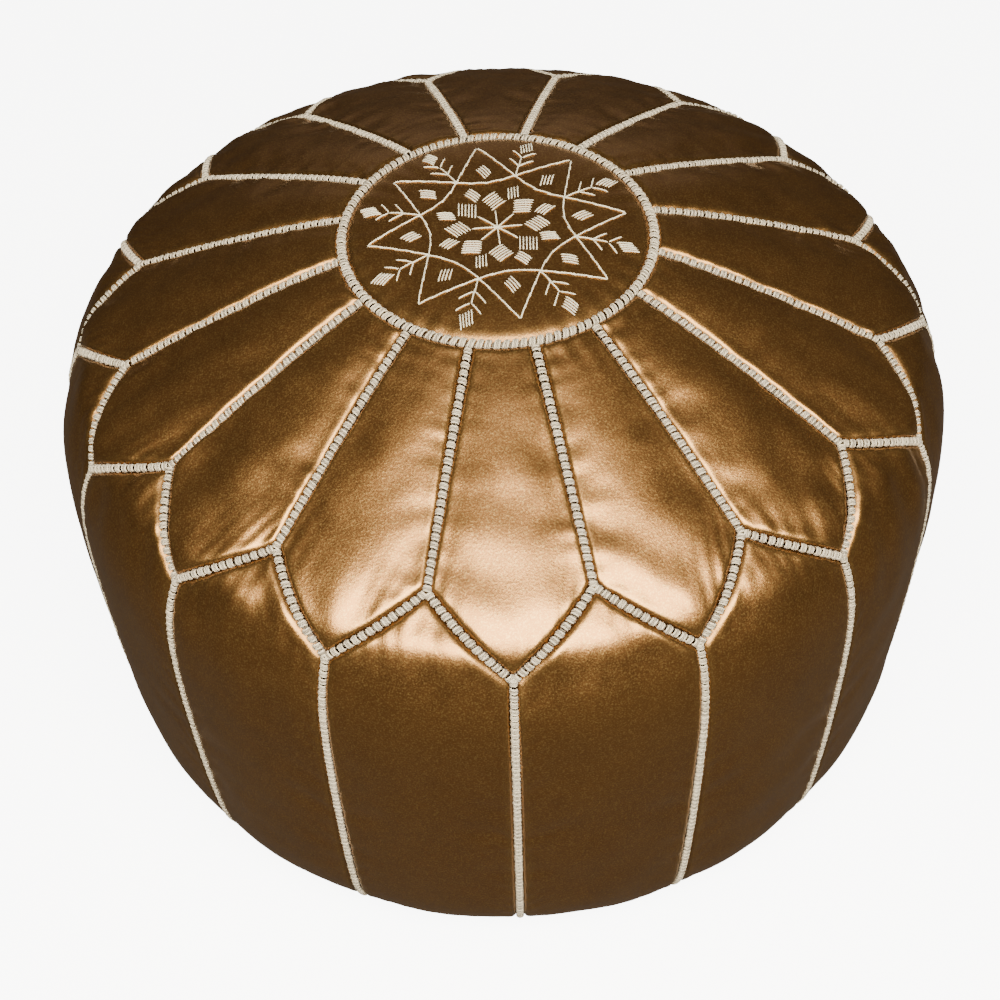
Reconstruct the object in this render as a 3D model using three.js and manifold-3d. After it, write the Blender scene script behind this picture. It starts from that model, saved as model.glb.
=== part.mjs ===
// A stuffed leather floor pouf: sixteen top petals and sixteen side panels sewn to a round
// medallion and a zipped base, over a cotton lining and its filling. Millimetres, +Z up,
// the origin at the middle of the base where it stands, and the front facing -Y.
import * as THREE from 'three';
import Module from 'manifold-3d';
import { mergeVertices } from 'three/addons/utils/BufferGeometryUtils.js';

const wasm = await Module();
wasm.setup();

const { lerp } = THREE.MathUtils;

// Driving dimensions of the cover, measured on its seams
const PANELS = 16;
const HEIGHT = 338;
const EQUATOR_RADIUS = 254;
const EQUATOR_DROP = 138;
const MEDALLION_RADIUS = 85;
const MEDALLION_DROP = 4;
const SHOULDER_INSET = 44;
const SHOULDER_DROP = 53;
const TIP_INSET = 12;
const TIP_DROP = 80;
const FOOT_INSET = 7;
const FOOT_HEIGHT = 45;
const BASE_SEAM_INSET = 28;
const BASE_SEAM_HEIGHT = 5;
const LEATHER = 1.8;
const PUFF = 6;
const SEAM_OPENING = 1.4;
const PANEL_ROWS = 8;
const HALF_PANEL_COLUMNS = 2;
const ROW_FACET_GAP = 2.2;
const COLUMN_FACET_GAP = 1.4;

// Stitching
const STITCH_WIDTH = 5;
const STITCH_HEIGHT = 2;
const RING_STITCH_WIDTH = 8;
const BASE_STITCH_WIDTH = 4;
const STITCH_LIFT = 1.2;
const STITCH_EDGE = 0.6;
const STITCH_FACET_GAP = 0.8;

// Embroidery of the medallion
const STAR_POINTS = 8;
const STAR_MARGIN = 14;
const STAR_NOTCH_RADIUS = 41;
const STAR_TURN = THREE.MathUtils.degToRad(8);
const BRANCH_MARGIN = 6.5;
const SPOKE_LENGTH = 17;
const SATIN_LENGTH = 11;
const SATIN_WIDTH = 7;
const SATIN_SLANT = 1 / 3;
const EMBROIDERY_LINE = 1.6;
const EMBROIDERY_HEIGHT = 0.8;
const EMBROIDERY_LIFT = 0.4;

// Base panel, which rises in the middle so that the zip clears the floor
const PLATEAU_RADIUS = 152;
const PLATEAU_HEIGHT = 10;
const STANDING_INSET = 48;
const PIECE_GAP = 0.3;

// Zip
const ZIP_LENGTH = 240;
const TAPE_WIDTH = 14;
const TAPE_THICKNESS = 0.8;
const TAPE_TAIL = 8;
const TOOTH_PITCH = 4;
const TOOTH_WIDTH = 2;
const TOOTH_REACH = 2;
const TOOTH_HEIGHT = 2.4;
const TOOTH_SPINE = 1.6;
const NECK_SLOT = 1.6;
const STOP_LENGTH = 2;
const SLIT_MARGIN = 4;

// Slider and pull tab
const SLIDER_LENGTH = 14;
const SLIDER_PLATE = 1.2;
const SLIDER_TAIL = 0.8;
const FLANGE_WIDTH = 0.8;
const SLIT_CLEARANCE = 0.8;
const NECK_WIDTH = 1;
const NECK_LENGTH = 3;
const ARCH_LENGTH = 7;
const ARCH_WIDTH = 2.4;
const ARCH_BAR = 1.2;
const ARCH_CLEARANCE = 2.6;
const TAB_LENGTH = 32;
const TAB_WIDTH = 8;
const TAB_WAIST_WIDTH = 4.8;
const TAB_WAIST = 14.4;
const TAB_THICKNESS = 1.2;
const TAB_BAR = 1.4;
const TAB_EYE_LENGTH = 5;
const TAB_EYE_WIDTH = 4;

// Inside
const LINING_GAP = 4;
const LINING_THICKNESS = 0.8;
const FILLING_GAP = 0.8;
const LINING_FOOT = 24;
const LINING_ROWS = 12;
const ZIP_HEADROOM = 6.4;

const PANEL_ANGLE = (2 * Math.PI) / PANELS;
const BASE_SEAM_RADIUS = EQUATOR_RADIUS - BASE_SEAM_INSET;
const STANDING_RADIUS = BASE_SEAM_RADIUS - STANDING_INSET;
const RING_SEAM_INSIDE = MEDALLION_RADIUS - RING_STITCH_WIDTH / 2;
const STAR_TIP_RADIUS = RING_SEAM_INSIDE - STAR_MARGIN;
const BRANCH_END_RADIUS = RING_SEAM_INSIDE - BRANCH_MARGIN - SATIN_LENGTH / 2;
const ZIP_HEIGHT = PLATEAU_HEIGHT + LEATHER + PIECE_GAP + TAPE_THICKNESS / 2;
const TEETH_NEAR = NECK_SLOT / 2;
const TEETH_FAR = TEETH_NEAR + TOOTH_REACH + TOOTH_SPINE;
const SLIDER_WIDTH = 2 * (TEETH_FAR + 2 * PIECE_GAP + FLANGE_WIDTH);
const SLIT_WIDTH = SLIDER_WIDTH + 2 * SLIT_CLEARANCE;

const LOOKS = {
  leather: { color: 0x7a5a30, roughness: 0.36, metalness: 0.45 },
  thread: { color: 0xc9bfa8, roughness: 0.7, metalness: 0 },
  embroidery: { color: 0xe6dcc4, roughness: 0.65, metalness: 0 },
  cotton: { color: 0xe9e2d2, roughness: 0.95, metalness: 0 },
  filling: { color: 0xf2efe8, roughness: 1, metalness: 0 },
  tape: { color: 0x3b2f22, roughness: 0.9, metalness: 0 },
  brass: { color: 0xb08d3c, roughness: 0.35, metalness: 1 },
};

const pouf = new THREE.Group();

function addPiece(name, geometry, look) {
  const mesh = new THREE.Mesh(geometry, new THREE.MeshStandardMaterial(LOOKS[look]));
  mesh.name = name;
  pouf.add(mesh);
}

function numbered(name, index) {
  return `${name}_${String(index + 1).padStart(2, '0')}`;
}

// Joining and cutting

function solidOf(geometry) {
  const bare = new THREE.BufferGeometry();
  bare.setAttribute('position', geometry.getAttribute('position'));
  bare.setIndex(geometry.getIndex());
  const merged = mergeVertices(bare, 1e-4);
  const vertProperties = new Float32Array(merged.getAttribute('position').array);
  const triVerts = new Uint32Array(merged.getIndex().array);
  return new wasm.Manifold(new wasm.Mesh({ numProp: 3, vertProperties, triVerts }));
}

function geometryOf(solid) {
  const { vertProperties, triVerts } = solid.getMesh();
  const geometry = new THREE.BufferGeometry();
  geometry.setAttribute('position', new THREE.BufferAttribute(vertProperties, 3));
  geometry.setIndex(new THREE.BufferAttribute(triVerts, 1));
  return geometry;
}

function joined(geometries) {
  const [first, ...rest] = geometries.map(solidOf);
  return geometryOf(rest.reduce((whole, solid) => whole.add(solid), first));
}

function cut(geometry, tools) {
  const whole = tools.map(solidOf).reduce((left, tool) => left.subtract(tool), solidOf(geometry));
  return geometryOf(whole);
}

// A box given by its lowest and highest corners
function boxBetween(low, high) {
  const size = high.map((value, axis) => value - low[axis]);
  const middle = high.map((value, axis) => (value + low[axis]) / 2);
  return new THREE.BoxGeometry(...size).translate(...middle);
}

// A flat outline in X and Y, made solid between two heights
function prism(outline, bottom, top) {
  const shape = new THREE.Shape(outline.map(([x, y]) => new THREE.Vector2(x, y)));
  const settings = { depth: top - bottom, bevelEnabled: false, steps: 1 };
  return new THREE.ExtrudeGeometry(shape, settings).translate(0, 0, bottom);
}

// The cover's section from the middle of the top to the base seam, one knot for each seam
const section = new THREE.SplineCurve([
  new THREE.Vector2(0, HEIGHT),
  new THREE.Vector2(MEDALLION_RADIUS, HEIGHT - MEDALLION_DROP),
  new THREE.Vector2(EQUATOR_RADIUS - SHOULDER_INSET, HEIGHT - SHOULDER_DROP),
  new THREE.Vector2(EQUATOR_RADIUS - TIP_INSET, HEIGHT - TIP_DROP),
  new THREE.Vector2(EQUATOR_RADIUS, HEIGHT - EQUATOR_DROP),
  new THREE.Vector2(EQUATOR_RADIUS - FOOT_INSET, FOOT_HEIGHT),
  new THREE.Vector2(BASE_SEAM_RADIUS, BASE_SEAM_HEIGHT),
]);
const KNOTS = section.points.length - 1;
const AT_MEDALLION = 1 / KNOTS;
const AT_SHOULDER = 2 / KNOTS;
const AT_TIP = 3 / KNOTS;
const AT_BASE_SEAM = 1;

section.arcLengthDivisions = 1200;
const SECTION_LENGTHS = section.getLengths();

// Length along the section from the middle of the top to a place
function lengthAt(place) {
  const step = Math.min(Math.max(place, 0), 1) * section.arcLengthDivisions;
  const before = Math.min(Math.floor(step), section.arcLengthDivisions - 1);
  return lerp(SECTION_LENGTHS[before], SECTION_LENGTHS[before + 1], step - before);
}

// Moves a place on the section by a length along it
function along(place, length) {
  const whole = SECTION_LENGTHS[section.arcLengthDivisions];
  const moved = Math.min(Math.max(lengthAt(place) + length, 0), whole);
  return section.getUtoTmapping(0, moved);
}

// The place at a share of the section's length between two places
function placeBetween(from, to, share) {
  return along(from, (lengthAt(to) - lengthAt(from)) * share);
}

// How far flat facets between two places lie inside the section at most
function facetGap(from, to, facets, spread) {
  let farthest = 0;
  for (let facet = 0; facet < facets; facet += 1) {
    const [start, middle, end] = [0, 0.5, 1].map((share) => (
      section.getPoint(spread(from, to, (facet + share) / facets))
    ));
    const chord = end.clone().sub(start);
    const gap = Math.abs(chord.cross(middle.clone().sub(start))) / chord.length();
    farthest = Math.max(farthest, gap);
  }
  return farthest;
}

// The number of facets between two places, at least the fewest, that keeps them within a gap
function facetsBetween(from, to, fewest, gap, spread) {
  let facets = fewest;
  while (facetGap(from, to, facets, spread) > gap) facets += 1;
  return facets;
}

// The section's place at a radius on the top
function placeAtRadius(radius) {
  let low = 0;
  let high = AT_TIP;
  for (let halving = 0; halving < 40; halving += 1) {
    const middle = (low + high) / 2;
    if (section.getPoint(middle).x < radius) low = middle;
    else high = middle;
  }
  return low;
}

// A point of the cover at an angle from the front towards +X, lifted outwards by a length
function coverPoint(angle, place, lift) {
  const { x: radius, y: height } = section.getPoint(place);
  const slope = section.getTangent(place);
  const reach = radius - slope.y * lift;
  return new THREE.Vector3(reach * Math.sin(angle), -reach * Math.cos(angle), height + slope.x * lift);
}

// A closed skin between an upper and a lower surface over the unit square
function skin(pointAt, columns, rows, top, bottom) {
  const positions = [];
  const faces = [];
  const side = (columns + 1) * (rows + 1);
  for (const lift of [top, bottom]) {
    for (let row = 0; row <= rows; row += 1) {
      for (let column = 0; column <= columns; column += 1) {
        const across = column / columns;
        const down = row / rows;
        positions.push(...pointAt(across, down, lift(across, down)).toArray());
      }
    }
  }
  const vertex = (column, row) => row * (columns + 1) + column;
  const addQuad = (a, b, c, d) => faces.push(a, b, c, a, c, d);
  for (let row = 0; row < rows; row += 1) {
    for (let column = 0; column < columns; column += 1) {
      const [a, b] = [vertex(column, row), vertex(column, row + 1)];
      const [c, d] = [vertex(column + 1, row + 1), vertex(column + 1, row)];
      addQuad(a, b, c, d);
      addQuad(side + a, side + d, side + c, side + b);
    }
    addQuad(vertex(0, row), side + vertex(0, row), side + vertex(0, row + 1), vertex(0, row + 1));
    const [e, f] = [vertex(columns, row), vertex(columns, row + 1)];
    addQuad(e, f, side + f, side + e);
  }
  for (let column = 0; column < columns; column += 1) {
    const [a, b] = [vertex(column, 0), vertex(column + 1, 0)];
    const [c, d] = [vertex(column, rows), vertex(column + 1, rows)];
    addQuad(a, b, side + b, side + a);
    addQuad(c, side + c, side + d, d);
  }
  const geometry = new THREE.BufferGeometry();
  geometry.setAttribute('position', new THREE.Float32BufferAttribute(positions, 3));
  geometry.setIndex(faces);
  return geometry;
}

// How far a panel swells between its seams
function swell(across, down) {
  const off = 2 * across - 1;
  return PUFF * (1 - off * off) ** 2 * Math.sin(Math.PI * down);
}

// One leather panel round a middle angle, whose two ends may be V-shaped
function leatherPanel(middle, startAt, endAt) {
  const pointAt = (across, down, lift) => {
    const off = 2 * across - 1;
    const place = lerp(startAt(Math.abs(off)), endAt(Math.abs(off)), down);
    const radius = section.getPoint(place).x;
    const halfAngle = PANEL_ANGLE / 2 - SEAM_OPENING / 2 / radius;
    return coverPoint(middle + off * halfAngle, place, lift);
  };
  const columns = 2 * facetsBetween(AT_SHOULDER, AT_TIP, HALF_PANEL_COLUMNS, COLUMN_FACET_GAP, placeBetween);
  const rows = facetsBetween(startAt(0), endAt(0), PANEL_ROWS, ROW_FACET_GAP, lerp);
  return skin(pointAt, columns, rows, swell, (across, down) => swell(across, down) - LEATHER);
}

function petal(index) {
  const start = along(AT_MEDALLION, SEAM_OPENING / 2);
  const endAt = (off) => along(placeBetween(AT_TIP, AT_SHOULDER, off), -SEAM_OPENING / 2);
  return leatherPanel(index * PANEL_ANGLE, () => start, endAt);
}

function sidePanel(index) {
  const end = along(AT_BASE_SEAM, -SEAM_OPENING / 2);
  const startAt = (off) => along(placeBetween(AT_SHOULDER, AT_TIP, off), SEAM_OPENING / 2);
  return leatherPanel((index + 0.5) * PANEL_ANGLE, startAt, () => end);
}

// Turns an outline of radius and height round the axis
function turned(outline, segments) {
  const profile = outline.map(([radius, height]) => new THREE.Vector2(radius, height));
  return new THREE.LatheGeometry(profile, segments).rotateX(Math.PI / 2);
}

// Radius and height of the section lifted by a length, between two places
function sectionLine(from, to, steps, lift) {
  return Array.from({ length: steps + 1 }, (_, step) => {
    const place = lerp(from, to, step / steps);
    const point = coverPoint(Math.PI / 2, place, lift);
    return [step === 0 && from === 0 ? 0 : point.x, point.z];
  });
}

function medallion() {
  const edge = along(AT_MEDALLION, -SEAM_OPENING / 2);
  const steps = 3;
  const segments = 48;
  const upper = sectionLine(0, edge, steps, 0);
  const lower = sectionLine(0, edge, steps, -LEATHER);
  return turned([...lower, ...upper.reverse()], segments);
}

// A raised line of stitches over a path of angles and places on the cover
function stitchLine(pathAt, width, columns, steps, height, lift) {
  const pointAt = (across, down, raise) => {
    const reach = 1e-3;
    const [angle, place] = pathAt(down);
    const [angleBefore, placeBefore] = pathAt(down - reach);
    const [angleAfter, placeAfter] = pathAt(down + reach);
    const middle = coverPoint(angle, place, 0);
    const outward = coverPoint(angle, place, 1).sub(middle).normalize();
    const forward = coverPoint(angleAfter, placeAfter, 0).sub(coverPoint(angleBefore, placeBefore, 0));
    const sideways = outward.clone().cross(forward).normalize();
    return middle.addScaledVector(sideways, (across - 0.5) * width).addScaledVector(outward, raise);
  };
  const roundness = (across) => STITCH_EDGE + (1 - STITCH_EDGE) * Math.sin(Math.PI * across);
  const roundTop = (across) => lift + height * roundness(across);
  return skin(pointAt, columns, steps, roundTop, () => lift);
}

// Stitches from one angle and place to another, whose places are spread by a function
function straightStitches(from, to, width, fewestSteps, spread) {
  const pathAt = (share) => [
    lerp(from[0], to[0], share),
    spread(from[1], to[1], share),
  ];
  const columns = 2;
  const steps = facetsBetween(from[1], to[1], fewestSteps, STITCH_FACET_GAP, spread);
  return stitchLine(pathAt, width, columns, steps, STITCH_HEIGHT, STITCH_LIFT);
}

// A ring of stitches that lies on the cover at one place of its section
function ringStitches(place, width) {
  const segments = 48;
  const inner = along(place, -width / 2);
  const outer = Math.min(along(place, width / 2), AT_BASE_SEAM);
  const steps = 2;
  const lower = sectionLine(inner, outer, steps, STITCH_LIFT);
  const upper = sectionLine(inner, outer, steps, STITCH_LIFT + STITCH_HEIGHT);
  const outline = [...lower, ...upper.reverse()];
  return turned([...outline, outline[0]], segments);
}

function radialStitching() {
  const pieces = [ringStitches(AT_MEDALLION, RING_STITCH_WIDTH)];
  const end = along(AT_SHOULDER, -STITCH_WIDTH);
  const steps = 5;
  for (let index = 0; index < PANELS; index += 1) {
    const angle = (index + 0.5) * PANEL_ANGLE;
    pieces.push(straightStitches([angle, AT_MEDALLION], [angle, end], STITCH_WIDTH, steps, lerp));
  }
  return joined(pieces);
}

function zigzagStitching() {
  const pieces = [];
  const steps = 3;
  for (let index = 0; index < PANELS; index += 1) {
    const tip = [index * PANEL_ANGLE, AT_TIP];
    for (const turn of [-0.5, 0.5]) {
      const shoulder = [(index + turn) * PANEL_ANGLE, AT_SHOULDER];
      pieces.push(straightStitches(tip, shoulder, STITCH_WIDTH, steps, placeBetween));
    }
  }
  return joined(pieces);
}

function sideStitching() {
  const baseRing = along(AT_BASE_SEAM, -BASE_STITCH_WIDTH / 2);
  const pieces = [ringStitches(baseRing, BASE_STITCH_WIDTH)];
  const start = along(AT_TIP, 2 * STITCH_WIDTH);
  const steps = 10;
  for (let index = 0; index < PANELS; index += 1) {
    const angle = index * PANEL_ANGLE;
    pieces.push(straightStitches([angle, start], [angle, baseRing], STITCH_WIDTH, steps, lerp));
  }
  return joined(pieces);
}

// Embroidery

function embroideryLine(from, to, steps) {
  const pathAt = (share) => {
    const x = lerp(from[0] * Math.sin(from[1]), to[0] * Math.sin(to[1]), share);
    const y = lerp(from[0] * Math.cos(from[1]), to[0] * Math.cos(to[1]), share);
    return [Math.atan2(x, y), placeAtRadius(Math.hypot(x, y))];
  };
  const columns = 1;
  return stitchLine(pathAt, EMBROIDERY_LINE, columns, steps, EMBROIDERY_HEIGHT, EMBROIDERY_LIFT);
}

// A satin-stitched parallelogram whose middle is at a radius and an angle
function satinPatch(radius, angle) {
  const [half, wide] = [SATIN_LENGTH / 2, SATIN_WIDTH / 2];
  const slant = half * SATIN_SLANT;
  const place = placeAtRadius(radius);
  const outline = [[0, -half], [wide, -slant], [0, half], [-wide, slant]];
  const patch = prism(outline, EMBROIDERY_LIFT, EMBROIDERY_LIFT + EMBROIDERY_HEIGHT);
  const slope = section.getTangent(place);
  patch.rotateX(Math.atan2(-slope.y, slope.x));
  patch.rotateZ(angle);
  const { x, y, z } = coverPoint(angle, place, 0);
  return patch.translate(x, y, z);
}

function starEmbroidery() {
  const pieces = [];
  const turn = (2 * Math.PI) / STAR_POINTS;
  for (let index = 0; index < STAR_POINTS; index += 1) {
    const tipAngle = STAR_TURN + index * turn;
    const notchAngle = tipAngle + turn / 2;
    const notch = [STAR_NOTCH_RADIUS, notchAngle];
    pieces.push(embroideryLine([STAR_TIP_RADIUS, tipAngle], notch, 2));
    pieces.push(embroideryLine(notch, [STAR_TIP_RADIUS, tipAngle + turn], 2));
    pieces.push(embroideryLine(notch, [BRANCH_END_RADIUS, notchAngle], 2));
    pieces.push(satinPatch(BRANCH_END_RADIUS, notchAngle));
  }
  return joined(pieces);
}

function rosetteEmbroidery() {
  const pieces = [];
  for (let index = 0; index < STAR_POINTS; index += 1) {
    const angle = STAR_TURN + (index * 2 * Math.PI) / STAR_POINTS;
    pieces.push(embroideryLine([0.1, angle], [SPOKE_LENGTH, angle], 1));
    pieces.push(satinPatch(SPOKE_LENGTH + SATIN_LENGTH * SATIN_SLANT, angle));
  }
  return joined(pieces);
}

// Base panel halves, front (-1) and back (+1) of the zip

function basePanel(side) {
  const rim = BASE_SEAM_RADIUS - SEAM_OPENING / 2;
  const segments = 48;
  const disc = turned([
    [0, PLATEAU_HEIGHT],
    [PLATEAU_RADIUS, PLATEAU_HEIGHT],
    [STANDING_RADIUS, 0],
    [rim, 0],
    [rim, LEATHER],
    [STANDING_RADIUS, LEATHER],
    [PLATEAU_RADIUS, PLATEAU_HEIGHT + LEATHER],
    [0, PLATEAU_HEIGHT + LEATHER],
  ], segments);
  const beyond = 2 * EQUATOR_RADIUS;
  const edge = PIECE_GAP / 2;
  const otherHalf = side < 0
    ? boxBetween([-beyond, -edge, -beyond], [beyond, beyond, beyond])
    : boxBetween([-beyond, -beyond, -beyond], [beyond, edge, beyond]);
  const slitEnd = ZIP_LENGTH / 2 + SLIT_MARGIN;
  const slit = boxBetween([-slitEnd, -SLIT_WIDTH / 2, -beyond], [slitEnd, SLIT_WIDTH / 2, beyond]);
  return cut(disc, [otherHalf, slit]);
}

// Zip

function zipTape(side) {
  const near = side * (TEETH_FAR + PIECE_GAP);
  const far = near + side * TAPE_WIDTH;
  const end = ZIP_LENGTH / 2 + TAPE_TAIL;
  const half = TAPE_THICKNESS / 2;
  return boxBetween(
    [-end, Math.min(near, far), ZIP_HEIGHT - half],
    [end, Math.max(near, far), ZIP_HEIGHT + half],
  );
}

// A comb of teeth that reach towards the other row, half a pitch apart from it
function toothRow(side) {
  const root = TEETH_NEAR + TOOTH_REACH;
  const first = -ZIP_LENGTH / 2;
  const teeth = Math.floor((ZIP_LENGTH - SLIDER_LENGTH) / TOOTH_PITCH);
  const stagger = side < 0 ? 0 : TOOTH_PITCH / 2;
  const outline = [[first, TEETH_FAR], [first, root]];
  for (let tooth = 0; tooth < teeth; tooth += 1) {
    const start = first + stagger + tooth * TOOTH_PITCH + (TOOTH_PITCH - TOOTH_WIDTH) / 2;
    outline.push([start, root]);
    outline.push([start, TEETH_NEAR]);
    outline.push([start + TOOTH_WIDTH, TEETH_NEAR]);
    outline.push([start + TOOTH_WIDTH, root]);
  }
  const last = ZIP_LENGTH / 2 - SLIDER_LENGTH;
  outline.push([last, root]);
  outline.push([last, TEETH_FAR]);
  const placed = outline.map(([x, y]) => [x, side * y]);
  const half = TOOTH_HEIGHT / 2;
  return prism(placed, ZIP_HEIGHT - half, ZIP_HEIGHT + half);
}

// A metal clamp at a zip's end, from one y to another
function zipStop(end, near, far) {
  const half = TOOTH_HEIGHT / 2;
  const x = end * (ZIP_LENGTH / 2 + PIECE_GAP);
  const outer = x + end * STOP_LENGTH;
  return boxBetween(
    [Math.min(x, outer), near, ZIP_HEIGHT - half],
    [Math.max(x, outer), far, ZIP_HEIGHT + half],
  );
}

const SLIDER_MIDDLE = ZIP_LENGTH / 2 - SLIDER_LENGTH / 2;
const SLIDER_LOWER_TOP = ZIP_HEIGHT - TOOTH_HEIGHT / 2 - PIECE_GAP;
const SLIDER_BOTTOM = SLIDER_LOWER_TOP - SLIDER_PLATE;
const TAB_HEIGHT = SLIDER_BOTTOM - ARCH_CLEARANCE / 2;

// A slider plate is a wedge: wide where the rows part and narrower behind
function sliderPlate(bottom, top) {
  const [half, wide] = [SLIDER_LENGTH / 2, SLIDER_WIDTH / 2];
  const narrow = wide * SLIDER_TAIL;
  return prism([[-half, -narrow], [half, -wide], [half, wide], [-half, narrow]], bottom, top);
}

function slider() {
  const wide = SLIDER_WIDTH / 2;
  const half = SLIDER_LENGTH / 2;
  const upperBottom = ZIP_HEIGHT + TOOTH_HEIGHT / 2 + PIECE_GAP;
  const upperTop = upperBottom + SLIDER_PLATE;
  const tapeBottom = ZIP_HEIGHT - TAPE_THICKNESS / 2 - PIECE_GAP;
  const tapeTop = ZIP_HEIGHT + TAPE_THICKNESS / 2 + PIECE_GAP;
  const archBottom = SLIDER_BOTTOM - ARCH_CLEARANCE - ARCH_BAR;
  const archEnd = ARCH_LENGTH / 2;
  const pieces = [
    sliderPlate(SLIDER_BOTTOM, SLIDER_LOWER_TOP),
    sliderPlate(upperBottom, upperTop),
    boxBetween([half - NECK_LENGTH, -NECK_WIDTH / 2, SLIDER_BOTTOM], [half, NECK_WIDTH / 2, upperTop]),
    boxBetween([-archEnd, -ARCH_WIDTH / 2, archBottom], [archEnd, ARCH_WIDTH / 2, archBottom + ARCH_BAR]),
  ];
  for (const end of [-1, 1]) {
    const legStart = end < 0 ? -archEnd : archEnd - ARCH_BAR;
    pieces.push(boxBetween(
      [legStart, -ARCH_WIDTH / 2, archBottom],
      [legStart + ARCH_BAR, ARCH_WIDTH / 2, SLIDER_LOWER_TOP],
    ));
    const flangeStart = end < 0 ? -wide : wide - FLANGE_WIDTH;
    pieces.push(boxBetween([0, flangeStart, SLIDER_BOTTOM], [half, flangeStart + FLANGE_WIDTH, tapeBottom]));
    pieces.push(boxBetween([0, flangeStart, tapeTop], [half, flangeStart + FLANGE_WIDTH, upperTop]));
  }
  return joined(pieces).translate(SLIDER_MIDDLE, 0, 0);
}

// The tab lies back over the teeth, with its end bar under the slider's arch
function pullTab() {
  const half = TAB_WIDTH / 2;
  const eyeHalf = TAB_EYE_WIDTH / 2;
  const barHalf = TAB_BAR / 2;
  const waistHalf = TAB_WAIST_WIDTH / 2;
  const eyeEnd = barHalf + TAB_EYE_LENGTH;
  const outline = new THREE.Shape();
  outline.moveTo(barHalf, -half);
  outline.lineTo(barHalf, half);
  outline.lineTo(-eyeEnd - barHalf, half);
  outline.lineTo(-TAB_WAIST, waistHalf);
  outline.lineTo(half - TAB_LENGTH, half);
  outline.absarc(half - TAB_LENGTH, 0, half, Math.PI / 2, 1.5 * Math.PI, false);
  outline.lineTo(-TAB_WAIST, -waistHalf);
  outline.lineTo(-eyeEnd - barHalf, -half);
  outline.closePath();
  const eye = new THREE.Path();
  eye.moveTo(-barHalf, -eyeHalf);
  eye.lineTo(-eyeEnd, -eyeHalf);
  eye.lineTo(-eyeEnd, eyeHalf);
  eye.lineTo(-barHalf, eyeHalf);
  eye.closePath();
  outline.holes.push(eye);
  const settings = { depth: TAB_THICKNESS, bevelEnabled: false, curveSegments: 8 };
  const tab = new THREE.ExtrudeGeometry(outline, settings);
  return tab.translate(SLIDER_MIDDLE, 0, TAB_HEIGHT - TAB_THICKNESS / 2);
}

// Lining and filling

// The section of what the cover holds, from the middle of the base to the middle of the top
function insideLine(gap) {
  const raised = PLATEAU_HEIGHT + LEATHER + ZIP_HEADROOM + gap;
  const standing = LEATHER + BASE_SEAM_HEIGHT + gap;
  const edge = along(AT_BASE_SEAM, -LINING_FOOT);
  const steps = facetsBetween(0, edge, LINING_ROWS, ROW_FACET_GAP, lerp);
  const side = sectionLine(0, edge, steps, -LEATHER - gap);
  return [[0, raised], [PLATEAU_RADIUS, raised], [STANDING_RADIUS, standing], ...side.reverse()];
}

function lining() {
  const segments = 32;
  const outer = insideLine(LINING_GAP);
  const inner = insideLine(LINING_GAP + LINING_THICKNESS);
  const bag = cut(turned(outer, segments), [turned(inner, segments)]);
  const slitEnd = ZIP_LENGTH / 2;
  const [, floorOfBag] = inner[0];
  const beyond = floorOfBag + LINING_THICKNESS;
  const slit = boxBetween([-slitEnd, -SLIT_WIDTH / 2, 0], [slitEnd, SLIT_WIDTH / 2, beyond]);
  return cut(bag, [slit]);
}

function filling() {
  const segments = 32;
  return turned(insideLine(LINING_GAP + LINING_THICKNESS + FILLING_GAP), segments);
}

addPiece('filling', filling(), 'filling');
addPiece('cotton_lining', lining(), 'cotton');
addPiece('medallion_panel', medallion(), 'leather');
for (let index = 0; index < PANELS; index += 1) {
  addPiece(numbered('top_petal', index), petal(index), 'leather');
  addPiece(numbered('side_panel', index), sidePanel(index), 'leather');
}
addPiece('base_panel_front', basePanel(-1), 'leather');
addPiece('base_panel_back', basePanel(1), 'leather');
addPiece('medallion_and_radial_stitching', radialStitching(), 'thread');
addPiece('zigzag_stitching', zigzagStitching(), 'thread');
addPiece('side_and_base_stitching', sideStitching(), 'thread');
addPiece('star_embroidery', starEmbroidery(), 'embroidery');
addPiece('rosette_embroidery', rosetteEmbroidery(), 'embroidery');
addPiece('zip_tape_front', zipTape(-1), 'tape');
addPiece('zip_tape_back', zipTape(1), 'tape');
addPiece('zip_teeth_front', toothRow(-1), 'brass');
addPiece('zip_teeth_back', toothRow(1), 'brass');
addPiece('zip_top_stop_front', zipStop(1, -TEETH_FAR, -TEETH_NEAR), 'brass');
addPiece('zip_top_stop_back', zipStop(1, TEETH_NEAR, TEETH_FAR), 'brass');
addPiece('zip_bottom_stop', zipStop(-1, -TEETH_FAR, TEETH_FAR), 'brass');
addPiece('zip_slider', slider(), 'brass');
addPiece('zip_pull_tab', pullTab(), 'brass');

export default pouf;
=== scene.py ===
"""A bronze leather floor pouf with stitched seams and an embroidered medallion."""

import math

import bpy
import numpy as np
from bpy.props import FloatProperty, FloatVectorProperty, IntProperty, PointerProperty
from mathutils import Matrix, Vector


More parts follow.
